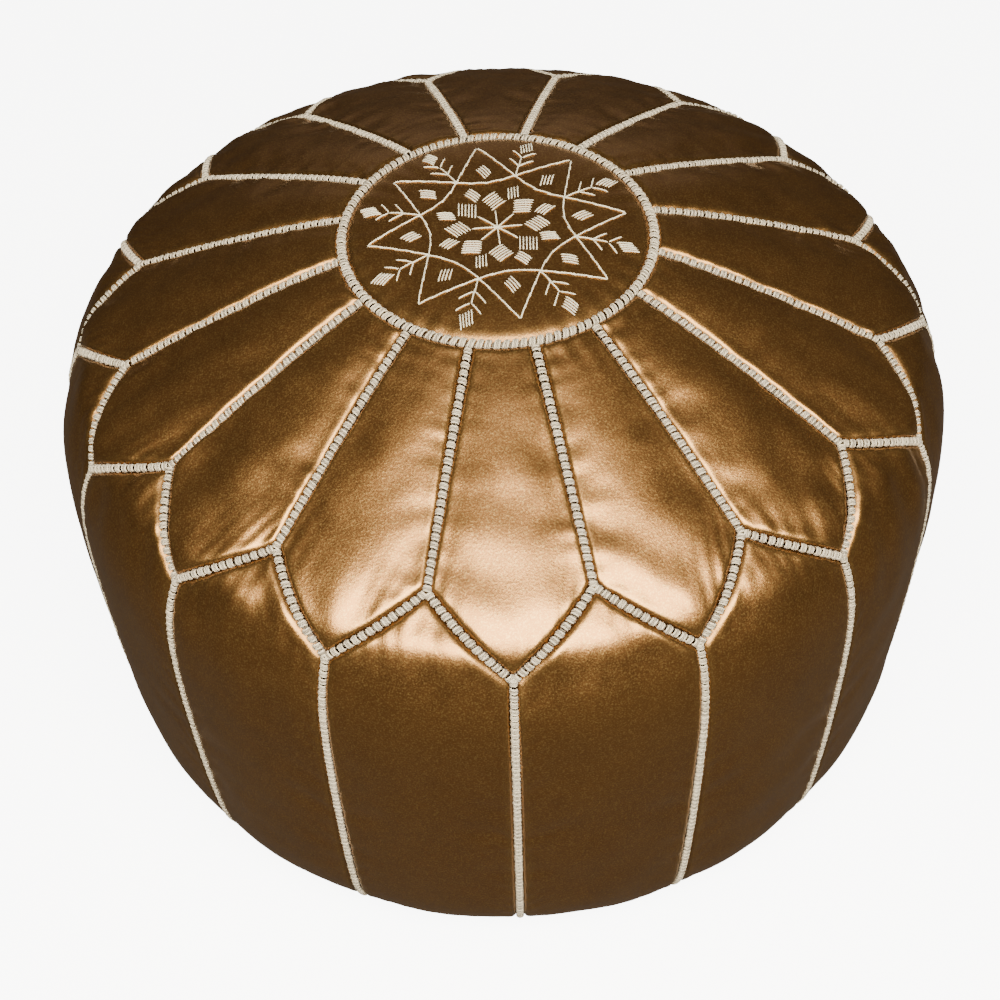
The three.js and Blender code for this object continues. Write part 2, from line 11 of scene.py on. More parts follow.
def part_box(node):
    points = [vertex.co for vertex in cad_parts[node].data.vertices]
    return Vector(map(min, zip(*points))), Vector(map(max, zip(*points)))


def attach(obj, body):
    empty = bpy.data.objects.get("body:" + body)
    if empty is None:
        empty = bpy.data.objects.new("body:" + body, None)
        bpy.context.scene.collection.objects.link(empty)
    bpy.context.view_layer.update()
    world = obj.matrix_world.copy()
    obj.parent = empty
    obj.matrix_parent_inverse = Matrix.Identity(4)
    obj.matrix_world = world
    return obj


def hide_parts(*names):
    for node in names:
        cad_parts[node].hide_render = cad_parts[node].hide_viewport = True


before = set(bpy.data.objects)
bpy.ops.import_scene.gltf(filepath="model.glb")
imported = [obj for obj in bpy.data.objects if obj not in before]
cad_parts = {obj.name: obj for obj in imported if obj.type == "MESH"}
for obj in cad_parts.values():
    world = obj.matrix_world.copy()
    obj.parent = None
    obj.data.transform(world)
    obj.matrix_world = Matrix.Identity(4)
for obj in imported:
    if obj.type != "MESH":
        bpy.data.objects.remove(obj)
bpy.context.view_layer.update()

bl_info = {
    "name": "Stitched Leather Pouf",
    "version": (1, 0, 0),
    "blender": (4, 5, 0),
    "location": "View3D > Sidebar > Pouf",
    "description": "Builds a stuffed leather floor pouf with stitched seams and an embroidered medallion",
    "category": "Object",
}

MEDALLION_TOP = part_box("medallion_panel")[1].z
PANELS = sum(name.startswith("top_petal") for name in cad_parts)
PANEL_ANGLE = 2 * math.pi / PANELS


# ---------------------------------------------------------------- settings


class PoufCover(bpy.types.PropertyGroup):
    """Sizes of the leather cover, measured on its seams"""

    height: FloatProperty(
        name="Height", description="Top of the medallion above the floor",
        default=MEDALLION_TOP, unit="LENGTH")
    medallion_radius: FloatProperty(
        name="Medallion radius", description="Radius of the ring seam",
        default=0.085, unit="LENGTH")
    medallion_drop: FloatProperty(
        name="Medallion drop", description="How far the ring seam lies under the top",
        default=0.004, unit="LENGTH")
    shoulder_radius: FloatProperty(
        name="Shoulder radius", description="Where the radial seams end",
        default=0.210, unit="LENGTH")
    shoulder_drop: FloatProperty(
        name="Shoulder drop", description="How far the ends of the radial seams lie under the top",
        default=0.053, unit="LENGTH")
    tip_radius: FloatProperty(
        name="Petal tip radius", description="Where the petals end in their points",
        default=0.242, unit="LENGTH")
    tip_drop: FloatProperty(
        name="Petal tip drop", description="How far the petal tips lie under the top",
        default=0.080, unit="LENGTH")
    equator_radius: FloatProperty(
        name="Widest radius", description="Radius of the side seams where the pouf is widest",
        default=0.254, unit="LENGTH")
    equator_height: FloatProperty(
        name="Widest height", description="Height at which the pouf is widest",
        default=0.200, unit="LENGTH")
    foot_radius: FloatProperty(
        name="Foot radius", description="Radius of the side seams just over the floor",
        default=0.247, unit="LENGTH")
    foot_height: FloatProperty(
        name="Foot height", description="Height of the foot radius",
        default=0.045, unit="LENGTH")
    base_radius: FloatProperty(
        name="Base seam radius", description="Radius of the seam round the base",
        default=0.226, unit="LENGTH")
    base_height: FloatProperty(
        name="Base seam height", description="Height of the seam round the base",
        default=0.005, unit="LENGTH")
    puff: FloatProperty(
        name="Puff", description="How far a panel may swell beyond its seams",
        default=0.0065, unit="LENGTH")
    crown: FloatProperty(
        name="Crown", description="How far the medallion swells over its seam",
        default=0.0008, unit="LENGTH")
    spare_leather: FloatProperty(
        name="Spare leather",
        description="Share by which the leather is cut larger than its seams, which gathers it",
        default=0.002, subtype="FACTOR", min=0, max=0.1)
    groove: FloatProperty(
        name="Seam groove", description="How deep the leather dips under the stitches",
        default=0.0030, unit="LENGTH")
    gather: FloatProperty(
        name="Gather", description="Depth of the soft folds that run from the zigzag seam",
        default=0.0011, unit="LENGTH")
    pucker: FloatProperty(
        name="Pucker", description="Depth of the small puckers beside the seams",
        default=0.0005, unit="LENGTH")


class PoufLeather(bpy.types.PropertyGroup):
    """Colours and finish of the bronze leather"""

    bronze: FloatVectorProperty(
        name="Bronze", description="Pearly bronze of the leather",
        default=(0.395, 0.184, 0.058), subtype="COLOR", size=3, min=0, max=1)
    # shade is also darkened to a third for the painted shade where the leather dips into the seams
    shade: FloatVectorProperty(
        name="Shade", description="Darker brown of the mottling and the seam edges",
        default=(0.23, 0.092, 0.027), subtype="COLOR", size=3, min=0, max=1)
    # pearl also paints the highlight on the rolled edge beside each seam
    pearl: FloatVectorProperty(
        name="Pearl", description="Bright flecks of the pearl finish",
        default=(0.76, 0.50, 0.17), subtype="COLOR", size=3, min=0, max=1)
    roughness: FloatProperty(
        name="Roughness", description="Roughness of the finish",
        default=0.33, subtype="FACTOR", min=0, max=1)
    metallic: FloatProperty(
        name="Metallic", description="How metallic the pearl finish is",
        default=0.95, subtype="FACTOR", min=0, max=1)
    fleck_size: FloatProperty(
        name="Fleck size", description="Size of the pearl flecks",
        default=0.0009, unit="LENGTH", precision=5)
    grain_size: FloatProperty(
        name="Grain size", description="Size of the leather's pebbles",
        default=0.0016, unit="LENGTH", precision=5)


class PoufStitching(bpy.types.PropertyGroup):
    """Sizes and colours of the seam threads"""

    width: FloatProperty(
        name="Stitch width", description="Width of a stitch across a seam",
        default=0.0040, unit="LENGTH", precision=5)
    ring_width: FloatProperty(
        name="Ring stitch width", description="Width of a stitch across the ring seam",
        default=0.0050, unit="LENGTH", precision=5)
    pitch: FloatProperty(
        name="Stitch pitch", description="Distance from stitch to stitch",
        default=0.0045, unit="LENGTH", precision=5)
    rise: FloatProperty(
        name="Stitch rise", description="How far a stitch arches over the leather",
        default=0.0022, unit="LENGTH", precision=5)
    thread_radius: FloatProperty(
        name="Thread radius", description="Radius of the seam thread",
        default=0.00056, unit="LENGTH", precision=5)
    colour: FloatVectorProperty(
        name="Thread", description="Silvery cream of the seam thread",
        default=(0.74, 0.62, 0.45), subtype="COLOR", size=3, min=0, max=1)
    # Painted shade: the tie thread, the darker middle strands and the twist's grooves take this near-black
    # colour
    shadow: FloatVectorProperty(
        name="Thread shadow", description="Greyer strands of the seam thread",
        default=(0.10, 0.07, 0.048), subtype="COLOR", size=3, min=0, max=1)


class PoufEmbroidery(bpy.types.PropertyGroup):
    """Sizes and colours of the medallion's embroidery"""

    points: IntProperty(
        name="Points", description="Points of the star", default=8, min=5, max=12)
    turn: FloatProperty(
        name="Turn", description="How far the star is turned from the front",
        default=math.radians(8), subtype="ANGLE")
    tip_radius: FloatProperty(
        name="Star tip radius", description="Radius of the star's points",
        default=0.0712, unit="LENGTH")
    crossing_radius: FloatProperty(
        name="Crossing radius", description="Radius at which the star's lines cross",
        default=0.0430, unit="LENGTH")
    bend_radius: FloatProperty(
        name="Bend radius", description="Radius of the star's lines at their innermost",
        default=0.0362, unit="LENGTH")
    branch_radius: FloatProperty(
        name="Branch radius", description="Radius of the patches at the branch ends",
        default=0.0715, unit="LENGTH")
    thread_radius: FloatProperty(
        name="Thread radius", description="Radius of the embroidery thread",
        default=0.00043, unit="LENGTH", precision=5)
    colour: FloatVectorProperty(
        name="Thread", description="Pale cream of the embroidery thread",
        default=(0.80, 0.72, 0.56), subtype="COLOR", size=3, min=0, max=1)
    # shadow is the duller strands' colour, and also the painted shade in the thread's twist grooves
    shadow: FloatVectorProperty(
        name="Thread shadow", description="Duller strands of the embroidery thread",
        default=(0.46, 0.40, 0.28), subtype="COLOR", size=3, min=0, max=1)


class PoufStage(bpy.types.PropertyGroup):
    """The floor, the lights and the camera"""

    elevation: FloatProperty(
        name="Camera elevation", description="Height of the view above the horizon",
        default=math.radians(48.96), subtype="ANGLE")
    roll: FloatProperty(
        name="Camera roll", description="Turn of the camera about its line of sight",
        default=math.radians(1.93), subtype="ANGLE")
    distance: FloatProperty(
        name="Camera distance", description="From the camera to the point it aims at",
        default=1.177, unit="LENGTH")
    aim_height: FloatProperty(
        name="Aim height", description="Height of the point that the camera aims at",
        default=0.1095, unit="LENGTH")
    lens: FloatProperty(
        name="Lens", description="Focal length", default=66.7, subtype="DISTANCE_CAMERA")
    key_power: FloatProperty(
        name="Key light", description="Power of the wide light beside the camera", default=110, unit="POWER")
    back_power: FloatProperty(
        name="Back light", description="Power of the low light behind the pouf", default=0.9, unit="POWER")
    top_power: FloatProperty(
        name="Top light", description="Power of the soft light overhead", default=3, unit="POWER")
    sky: FloatProperty(
        name="Room light", description="Strength of the even light of the room", default=0.035)


# ---------------------------------------------------------------- shader building


class Strand:
    """A node socket that plain arithmetic can be done on"""

    def __init__(self, loom, socket):
        self.loom = loom
        self.socket = socket

    def beside(self, output):
        """Another output of the same node"""
        return Strand(self.loom, self.socket.node.outputs[output])

    def _with(self, operation, first, second):
        return self.loom.node("ShaderNodeMath", {"operation": operation}, {0: first, 1: second})

    def __add__(self, other):
        return self._with("ADD", self, other)

    def __radd__(self, other):
        return self._with("ADD", other, self)

    def __sub__(self, other):
        return self._with("SUBTRACT", self, other)

    def __rsub__(self, other):
        return self._with("SUBTRACT", other, self)

    def __mul__(self, other):
        return self._with("MULTIPLY", self, other)

    def __rmul__(self, other):
        return self._with("MULTIPLY", other, self)


class Loom:
    """A material or a world whose nodes are made by one method"""

    MIXED_COLOUR = 2

    def __init__(self, name, kind="materials"):
        self.owner = getattr(bpy.data, kind).new(name)
        self.owner.use_nodes = True
        self.tree = self.owner.node_tree
        self.tree.nodes.clear()

    def node(self, kind, settings=None, inputs=None, output=0):
        made = self.tree.nodes.new(kind)
        for key, value in (settings or {}).items():
            if key == "stops":
                self._set_stops(made.color_ramp, value)
            else:
                setattr(made, key, value)
        for key, value in (inputs or {}).items():
            if isinstance(value, Strand):
                self.tree.links.new(value.socket, made.inputs[key])
            else:
                made.inputs[key].default_value = value
        return Strand(self, made.outputs[output]) if made.outputs else None

    def _set_stops(self, ramp, stops):
        while len(ramp.elements) < len(stops):
            ramp.elements.new(1)
        for element, (position, colour) in zip(ramp.elements, stops):
            element.position = position
            element.color = (*colour, 1)

    def mix(self, share, first, second):
        """A colour between two colours"""
        colours = {0: share, 6: as_colour(first), 7: as_colour(second)}
        return self.node("ShaderNodeMix", {"data_type": "RGBA"}, colours, self.MIXED_COLOUR)

    def place(self):
        return self.node("ShaderNodeTexCoord", output="Object")

    def noise(self, size, detail=2.0, roughness=0.5, stretch=None):
        """Noise from 0 to 1 whose blotches are about a size in metres"""
        where = self.place()
        if stretch is not None:
            scaled = {0: where, 1: stretch}
            where = self.node("ShaderNodeVectorMath", {"operation": "MULTIPLY"}, scaled)
        values = {"Vector": where, "Scale": 1 / size, "Detail": detail, "Roughness": roughness}
        return self.node("ShaderNodeTexNoise", {}, values)

    def cells(self, size):
        """Distance to the nearest cell centre, for cells of a size in metres"""
        values = {"Vector": self.place(), "Scale": 1 / size}
        return self.node("ShaderNodeTexVoronoi", {"feature": "F1"}, values)

    def attribute(self, name, output="Fac"):
        return self.node("ShaderNodeAttribute", {"attribute_name": name}, output=output)

    def between(self, value, low, high, to_low=0.0, to_high=1.0):
        """Maps a value from one range to another, clamped"""
        values = {"Value": value, 1: low, 2: high, 3: to_low, 4: to_high}
        return self.node("ShaderNodeMapRange", {"clamp": True}, values)

    def bump(self, height, depth, under=None):
        values = {"Height": height, "Distance": depth, "Strength": 1.0}
        if under is not None:
            values["Normal"] = under
        return self.node("ShaderNodeBump", {}, values)

    def by_ray(self, plain, seen):
        """A shader that is one thing to the camera and another to the rest of the scene"""
        camera_ray = self.node("ShaderNodeLightPath")
        return self.node("ShaderNodeMixShader", {}, {0: camera_ray, 1: plain, 2: seen})

    def finish(self, **sockets):
        """Ends the material in a Principled shader; underscores stand for spaces in socket names"""
        values = {key.replace("_", " "): value for key, value in sockets.items()}
        surface = self.node("ShaderNodeBsdfPrincipled", {}, values)
        self.node("ShaderNodeOutputMaterial", {}, {"Surface": surface})
        return self.owner


def as_colour(value):
    return value if isinstance(value, Strand) else (*value, 1)


ONE_METRE_BANDS = 0.314
BACKDROP_STRENGTH = 7.0


def leather_material():
    """Pearl-finished bronze leather: mottled, flecked, pebbled, with painted shade where it dips into the
    seams and a painted highlight on its rolled edge beside them
    """
    name = "pearl_bronze_leather"
    if name in bpy.data.materials:
        return bpy.data.materials[name]
    look = bpy.context.scene.pouf_leather
    loom = Loom(name)
    mottle = loom.noise(0.055, detail=3)
    cloud = loom.noise(0.012, detail=4, roughness=0.6)
    fleck = loom.noise(look.fleck_size, detail=1)
    seam = loom.attribute("seam_distance")
    # Painted shade: within 5 mm of a seam the leather goes near black, as the shade in the seam's groove
    painted_seam_shade = loom.between(seam, 0.0, 0.005, 1.0, 0.0)
    # Painted highlight: a pale pearl band that peaks 3 to 5 mm from a seam and fades by 9 mm, on the
    # leather's rolled edge
    painted_edge_highlight = loom.between(seam, 0.003, 0.009, 1.0, 0.0) * (1 - painted_seam_shade)
    tone = loom.between(mottle * 0.7 + cloud * 0.3, 0.25, 0.60)
    colour = loom.mix(tone * 0.25 + 0.6, look.shade, look.bronze)
    colour = loom.mix(loom.between(fleck, 0.50, 0.75) * 0.40, colour, look.pearl)
    colour = loom.mix(loom.between(fleck, 0.48, 0.28) * 0.25, colour, look.shade)
    # Painted highlight on the rolled edge beside the seams
    colour = loom.mix(painted_edge_highlight * 0.12, colour, look.pearl)
    # Painted shade in the seam groove
    colour = loom.mix(painted_seam_shade * 0.85, colour, tuple(0.35 * part for part in look.shade))
    gloss = loom.between(cloud, 0.3, 0.7, look.roughness - 0.02, look.roughness + 0.03)
    roughness = gloss + (fleck - 0.5) * 0.14
    pebbles = loom.bump(loom.cells(look.grain_size), 0.00004)
    creases = loom.bump(loom.noise(0.010, detail=2), 0.00008, pebbles)
    normal = loom.bump(fleck, 0.00004, creases)
    return loom.finish(
        Base_Color=colour, Metallic=look.metallic, Roughness=roughness, Normal=normal,
        Coat_Weight=0.12, Coat_Roughness=0.34)


def thread_material(name, colour, shadow, radius):
    """Plied thread with a twist, a little sheen and a shade of its own for each stitch; the twist's grooves
    are painted darker as shade, and on the seams each strand's shade is painted shade for its place in the
    stitch
    """
    if name in bpy.data.materials:
        return bpy.data.materials[name]
    loom = Loom(name)
    cosine = loom.node("ShaderNodeSeparateXYZ", {}, {0: loom.attribute("strand", "Vector")})
    sine = cosine.beside(1)
    length = cosine.beside(2)
    around = loom.node("ShaderNodeMath", {"operation": "ARCTAN2"}, {0: sine, 1: cosine})
    turns = 2 * math.pi / (4 * radius)
    twist = loom.node("ShaderNodeMath", {"operation": "SINE"}, {0: 2 * around + length * turns})
    # Painted shade: the twist's grooves darken the colour, besides driving the bump
    groove = loom.between(twist, -1.0, 0.2)
    # On the seams this per-strand shade is painted shade for the strand's place in the stitch; on the
    # embroidery it varies at random
    shade = loom.attribute("shade")
    fuzz = loom.noise(0.0006, detail=2)
    tone = loom.between(shade * 0.75 + groove * 0.25 + (fuzz - 0.5) * 0.5, 0.0, 1.0)
    blend = loom.mix(tone, shadow, colour)
    normal = loom.bump(groove, radius * 0.35)
    return loom.finish(
        Base_Color=blend, Roughness=0.55 + fuzz * 0.2, Normal=normal,
        Sheen_Weight=0.25, Sheen_Roughness=0.4)


def cotton_material(name, colour, thread):
    """Plain woven cloth, whose threads are a size in metres"""
    loom = Loom(name)
    bands = {"Vector": loom.place(), "Scale": ONE_METRE_BANDS / thread}
    warp = loom.node("ShaderNodeTexWave", {"bands_direction": "X"}, bands)
    weft = loom.node("ShaderNodeTexWave", {"bands_direction": "Y"}, bands)
    weave = loom.node("ShaderNodeMath", {"operation": "MAXIMUM"}, {0: warp, 1: weft})
    stain = loom.noise(0.02, detail=3)
    tone = loom.between(weave * 0.6 + stain * 0.4, 0.2, 0.8)
    dull = tuple(0.6 * part for part in colour)
    return loom.finish(
        Base_Color=loom.mix(tone, dull, colour), Roughness=0.85 + stain * 0.1,
        Normal=loom.bump(weave, thread * 0.3))


def wadding_material():
    """Fluffy cotton filling"""
    loom = Loom("cotton_wadding")
    fluff = loom.noise(0.008, detail=6, roughness=0.7)
    colour = loom.mix(loom.between(fluff, 0.3, 0.7), (0.62, 0.58, 0.50), (0.88, 0.85, 0.78))
    return loom.finish(Base_Color=colour, Roughness=0.95, Normal=loom.bump(fluff, 0.003))


def brass_material():
    """Plain zip brass, rubbed brighter in places and dulled by handling"""
    loom = Loom("rubbed_brass")
    tarnish = loom.noise(0.004, detail=4)
    scratches = loom.noise(0.0005, detail=2, stretch=(0.1, 1.0, 1.0))
    colour = loom.mix(loom.between(tarnish, 0.35, 0.65), (0.36, 0.24, 0.09), (0.72, 0.54, 0.24))
    roughness = loom.between(tarnish, 0.3, 0.7, 0.42, 0.25) + (scratches - 0.5) * 0.15
    return loom.finish(
        Base_Color=colour, Metallic=1.0, Roughness=roughness, Normal=loom.bump(scratches, 0.00003))


def floor_material():
    """Plain pale floor, duller to the pouf than to the eye, so that it doesn't wash the leather out"""
    loom = Loom("pale_floor")
    grain = loom.noise(0.15, detail=3)
    colour = loom.mix(loom.between(grain, 0.3, 0.7), (0.86, 0.86, 0.86), (0.90, 0.90, 0.90))
    pale = {
        "Base Color": colour,
        "Roughness": 0.8,
        "Emission Color": (1.0, 1.0, 1.0, 1),
        "Emission Strength": BACKDROP_STRENGTH,
    }
    seen = loom.node("ShaderNodeBsdfPrincipled", {}, pale)
    dull = loom.node("ShaderNodeBsdfDiffuse", {}, {"Color": (0.05, 0.05, 0.05, 1)})
    loom.node("ShaderNodeOutputMaterial", {}, {"Surface": loom.by_ray(dull, seen)})
    return loom.owner


def room_world(strength):
    """Faint even light for the pouf, and a pale backdrop for the camera"""
    loom = Loom("room", "worlds")
    faint = {"Color": (1.0, 0.99, 0.97, 1), "Strength": strength}
    sky = loom.node("ShaderNodeBackground", {}, faint)
    pale = {"Color": (1.0, 0.995, 0.985, 1), "Strength": BACKDROP_STRENGTH}
    backdrop = loom.node("ShaderNodeBackground", {}, pale)
    loom.node("ShaderNodeOutputWorld", {}, {"Surface": loom.by_ray(sky, backdrop)})
    return loom.owner


# ---------------------------------------------------------------- the cover's surface


class Section:
    """The cover's section from the middle of the top to the base seam, with one knot for each seam"""

    AT_MEDALLION = 1 / 6
    AT_SHOULDER = 2 / 6
    AT_TIP = 3 / 6
    AT_BASE = 0.985
    LENGTH_SAMPLES = 1500
    RADIUS_SAMPLES = 400

    def __init__(self):
        size = bpy.context.scene.pouf_cover
        self.knots = np.array([
            (0, size.height),
            (size.medallion_radius, size.height - size.medallion_drop),
            (size.shoulder_radius, size.height - size.shoulder_drop),
            (size.tip_radius, size.height - size.tip_drop),
            (size.equator_radius, size.equator_height),
            (size.foot_radius, size.foot_height),
            (size.base_radius, size.base_height),
        ])

    def point(self, place):
        """Radius and height at places from 0 to 1, by a uniform Catmull-Rom curve"""
        last = len(self.knots) - 1
        run = np.clip(np.asarray(place, float), 0, 1) * last
        index = np.minimum(run.astype(int), last - 1)
        share = (run - index)[..., None]
        before = self.knots[np.maximum(index - 1, 0)]
        start = self.knots[index]
        end = self.knots[index + 1]
        after = self.knots[np.minimum(index + 2, last)]
        lead = (end - before) / 2
        trail = (after - start) / 2
        cubic = 2 * start - 2 * end + lead + trail
        square = 3 * end - 3 * start - 2 * lead - trail
        return ((cubic * share + square) * share + lead) * share + start

    def between(self, start, end, share):
        """Places that share out the section's length between two places"""
        places = np.linspace(0, 1, self.LENGTH_SAMPLES)
        steps = np.linalg.norm(np.diff(self.point(places), axis=0), axis=-1)
        lengths = np.concatenate([[0], np.cumsum(steps)])
        first = np.interp(start, places, lengths)
        last = np.interp(end, places, lengths)
        return np.interp(first + (last - first) * share, lengths, places)

    def place_at(self, radius):
        """The place on the top at a radius"""
        places = np.linspace(0, self.AT_TIP, self.RADIUS_SAMPLES)
        return np.interp(radius, self.point(places)[..., 0], places)

    def cover(self, angle, place, lift=0.0):
        """Points of the cover at angles from the front towards +X, lifted outwards"""
        reach = 1e-4
        middle = self.point(place)
        slope = self.point(np.asarray(place) + reach) - self.point(np.asarray(place) - reach)
        slope = slope / np.linalg.norm(slope, axis=-1, keepdims=True)
        radius = middle[..., 0] - slope[..., 1] * lift
        height = middle[..., 1] + slope[..., 0] * lift
        return np.stack([radius * np.sin(angle), -radius * np.cos(angle), height], axis=-1)


def petal_places(section, off, down):
    """Places of a petal: from the ring seam to its V-shaped end"""
    end = section.between(Section.AT_TIP, Section.AT_SHOULDER, np.abs(off))
    return section.between(Section.AT_MEDALLION, end, down)


def side_places(section, off, down):
    """Places of a side panel: from its inverted-V top to the base seam"""
    start = section.between(Section.AT_SHOULDER, Section.AT_TIP, np.abs(off))
    return section.between(start, 1.0, down)


def panel_blank(section, middle, places, rows, columns, puff):
    """A panel's leather between its seams, already swelling a little"""
    off, down = np.meshgrid(np.linspace(-1, 1, columns + 1), np.linspace(0, 1, rows + 1))
    swell = puff * (1 - off ** 2) * (1 - (2 * down - 1) ** 4)
    return section.cover(middle + off * PANEL_ANGLE / 2, places(section, off, down), swell)


# ---------------------------------------------------------------- mesh helpers


def grid_faces(rows, columns):
    """Quads of a grid whose rows run down and whose columns run across, seen from outside"""
    corner = np.arange(rows)[:, None] * (columns + 1) + np.arange(columns)[None, :]
    corner = corner.ravel()
    return np.stack([corner, corner + columns + 1, corner + columns + 2, corner + 1], axis=1)


def turned_faces(rows, spokes):
    """Quads of rows of points that each run round the axis"""
    start = np.arange(rows)[:, None] * spokes
    corner = start + np.arange(spokes)[None, :]
    beside = start + (np.arange(spokes)[None, :] + 1) % spokes
    return np.stack([corner, corner + spokes, beside + spokes, beside], axis=-1).reshape(-1, 4)


def bordered(grid):
    """A grid whose outer points are doubled, and which of its points are the doubles"""
    framed = np.pad(grid, ((1, 1), (1, 1), (0, 0)), mode="edge")
    border = np.ones(framed.shape[:2], dtype=bool)
    border[1:-1, 1:-1] = False
    return framed, border


def grid_normals(grid):
    across = np.gradient(grid, axis=1)
    down = np.gradient(grid, axis=0)
    normal = np.cross(down, across)
    return normal / np.maximum(np.linalg.norm(normal, axis=-1, keepdims=True), 1e-12)


def add_mesh(name, points, faces, material, attributes=None):
    """A smooth-shaded piece from points and faces, with float attributes on its points"""
    mesh = bpy.data.meshes.new(name)
    corners = faces.tolist() if isinstance(faces, np.ndarray) else faces
    mesh.from_pydata(np.asarray(points).reshape(-1, 3).tolist(), [], corners)
    mesh.polygons.foreach_set("use_smooth", np.ones(len(mesh.polygons), dtype=bool))
    for key, values in (attributes or {}).items():
        values = np.asarray(values, dtype=np.float32)
        kind, field = ("FLOAT_VECTOR", "vector") if values.ndim > 1 else ("FLOAT", "value")
        layer = mesh.attributes.new(key, kind, "POINT")
        layer.data.foreach_set(field, values.ravel())
    mesh.update()
    piece = bpy.data.objects.new(name, mesh)
    bpy.context.scene.collection.objects.link(piece)
    if material is not None:
        mesh.materials.append(material)
    return piece


def spline_weights(count, places):
    """Matrix that reads a row of evenly spaced values at places from 0 to 1, by a Catmull-Rom curve"""
    run = np.clip(places, 0, 1) * (count - 1)
    index = np.minimum(run.astype(int), count - 2)
    share = run - index
    square = share ** 2
    cube = share ** 3
    shares = [
        (-cube + 2 * square - share) / 2,
        (3 * cube - 5 * square + 2) / 2,
        (-3 * cube + 4 * square + share) / 2,
        (cube - square) / 2,
    ]
    weights = np.zeros((len(places), count))
    rows = np.arange(len(places))
    for step, amount in zip((-1, 0, 1, 2), shares):
        np.add.at(weights, (rows, np.clip(index + step, 0, count - 1)), amount)
    return weights


def crowded(steps):
    """Places from 0 to 1 that crowd towards both ends"""
    plain_share = 0.35
    eased_share = 0.65
    even = np.linspace(0, 1, steps + 1)
    return plain_share * even + eased_share * (0.5 - 0.5 * np.cos(math.pi * even))


def ripple(points, size, seed):
    """Smooth noise about -1 to 1 from a few plane waves of about one size"""
    chance = np.random.RandomState(seed)
    total = 0
    waves = 7
    for _ in range(waves):
        direction = chance.normal(size=3)
        direction /= np.linalg.norm(direction)
        stretch = chance.uniform(0.7, 1.5)
        total = total + np.sin(points @ direction * (2 * math.pi / size * stretch) + chance.uniform(0, 6.28))
    return total / math.sqrt(waves)


# ---------------------------------------------------------------- leather


PETAL_ROWS = 30
SIDE_ROWS = 40
BLANK_COLUMNS = 20
FIRST_SWELL = 0.35
GROOVE_WIDTH = 0.0026
RING_GROOVE_WIDTH = 0.0030
ROLL_SHARE = 0.10
PUCKER_LENGTH = 0.0125
RING_PUCKER_LENGTH = 0.0135
PUCKER_REACH = 0.011
RING_PUCKER_REACH = 0.012
PUCKER_CLEARANCE = 0.003
FOLD_SIZE = 0.030
FOLD_REACH = 0.035
FOLD_CLEARANCE = 0.006
CALM_MARGIN = 0.02
PANEL_UNEVENNESS = 0.0003
MEDALLION_UNEVENNESS = 0.0001
TURNED_IN = 0.004
LOWEST = 0.001
COVER = {}


def inflated(grids):
    """Blows the sewn panels up as one cloth that is held along its seams, and caps how far it moves"""
    size = bpy.context.scene.pouf_cover
    points = np.concatenate([grid.reshape(-1, 3) for grid in grids])
    faces = []
    held = []
    start = 0
    for grid in grids:
        rows = grid.shape[0] - 1
        columns = grid.shape[1] - 1
        faces.append(grid_faces(rows, columns) + start)
        inside = np.zeros((rows + 1, columns + 1), dtype=bool)
        inside[1:-1, 1:-1] = True
        held.append(~inside.ravel())
        start += grid.shape[0] * grid.shape[1]
    faces = np.concatenate(faces)
    held = np.concatenate(held)
    weld_step = 2e-5
    _, first, joined = np.unique(
        np.round(points / weld_step).astype(int), axis=0, return_index=True, return_inverse=True)
    joined = joined.reshape(-1)
    cloth = add_mesh("cover_cloth", points[first], joined[faces], None)
    pins = cloth.vertex_groups.new(name="seams")
    pins.add([int(number) for number in np.unique(joined[held])], 1.0, "REPLACE")
    modifier = cloth.modifiers.new("leather", "CLOTH")
    leather = modifier.settings
    leather.quality = 6
    leather.mass = 0.4
    leather.tension_stiffness = 20
    leather.compression_stiffness = 20
    leather.shear_stiffness = 8
    leather.bending_stiffness = 8
    leather.air_damping = 3
    leather.vertex_group_mass = "seams"
    leather.shrink_min = -size.spare_leather
    leather.use_pressure = True
    leather.uniform_pressure_force = 4
    leather.effector_weights.gravity = 0
    modifier.collision_settings.use_collision = False
    scene = bpy.context.scene
    steps = 20
    modifier.point_cache.frame_start = 1
    modifier.point_cache.frame_end = steps
    for step in range(1, steps + 1):
        scene.frame_set(step)
    shaped = cloth.evaluated_get(bpy.context.evaluated_depsgraph_get()).data
    moved = np.empty(len(shaped.vertices) * 3, dtype=np.float32)
    shaped.vertices.foreach_get("co", moved)
    scene.frame_set(1)
    bpy.data.objects.remove(cloth)
    shift = moved.reshape(-1, 3) - points[first]
    length = np.linalg.norm(shift, axis=1, keepdims=True)
    shift *= np.minimum(1, size.puff / np.maximum(length, 1e-9))
    settled = points + shift[joined]
    made = []
    start = 0
    for grid in grids:
        count = grid.shape[0] * grid.shape[1]
        made.append(settled[start:start + count].reshape(grid.shape))
        start += count
    return made


def sewn_panels():
    """The grids of all the petals and side panels after inflation, made once"""
    if COVER:
        return COVER
    section = Section()
    swell = FIRST_SWELL
    start = swell * bpy.context.scene.pouf_cover.puff
    kinds = (
        ("top_petal", 0.0, petal_places, PETAL_ROWS),
        ("side_panel", 0.5, side_places, SIDE_ROWS),
    )
    names = []
    grids = []
    for index in range(PANELS):
        for kind, turn, places, rows in kinds:
            middle = (index + turn) * PANEL_ANGLE
            names.append(f"{kind}_{index + 1:02d}")
            grids.append(panel_blank(section, middle, places, rows, BLANK_COLUMNS, start))
    grids = inflated(grids)
    COVER.update(zip(names, grids))
    return COVER


def run_lengths(grid, axis):
    """Length along the grid's rows or columns, from the start and from the end"""
    steps = np.linalg.norm(np.diff(grid, axis=axis), axis=-1)
    shape = list(steps.shape)
    shape[axis] = 1
    so_far = np.concatenate([np.zeros(shape), np.cumsum(steps, axis=axis)], axis=axis)
    total = np.take(so_far, [-1], axis=axis)
    return so_far, total - so_far


def beside_seam(distance, reach, clearance):
    """A share that is nothing on a seam, grows past a clearance and fades over a reach"""
    return np.exp(-distance / reach) * (1 - np.exp(-distance / clearance))


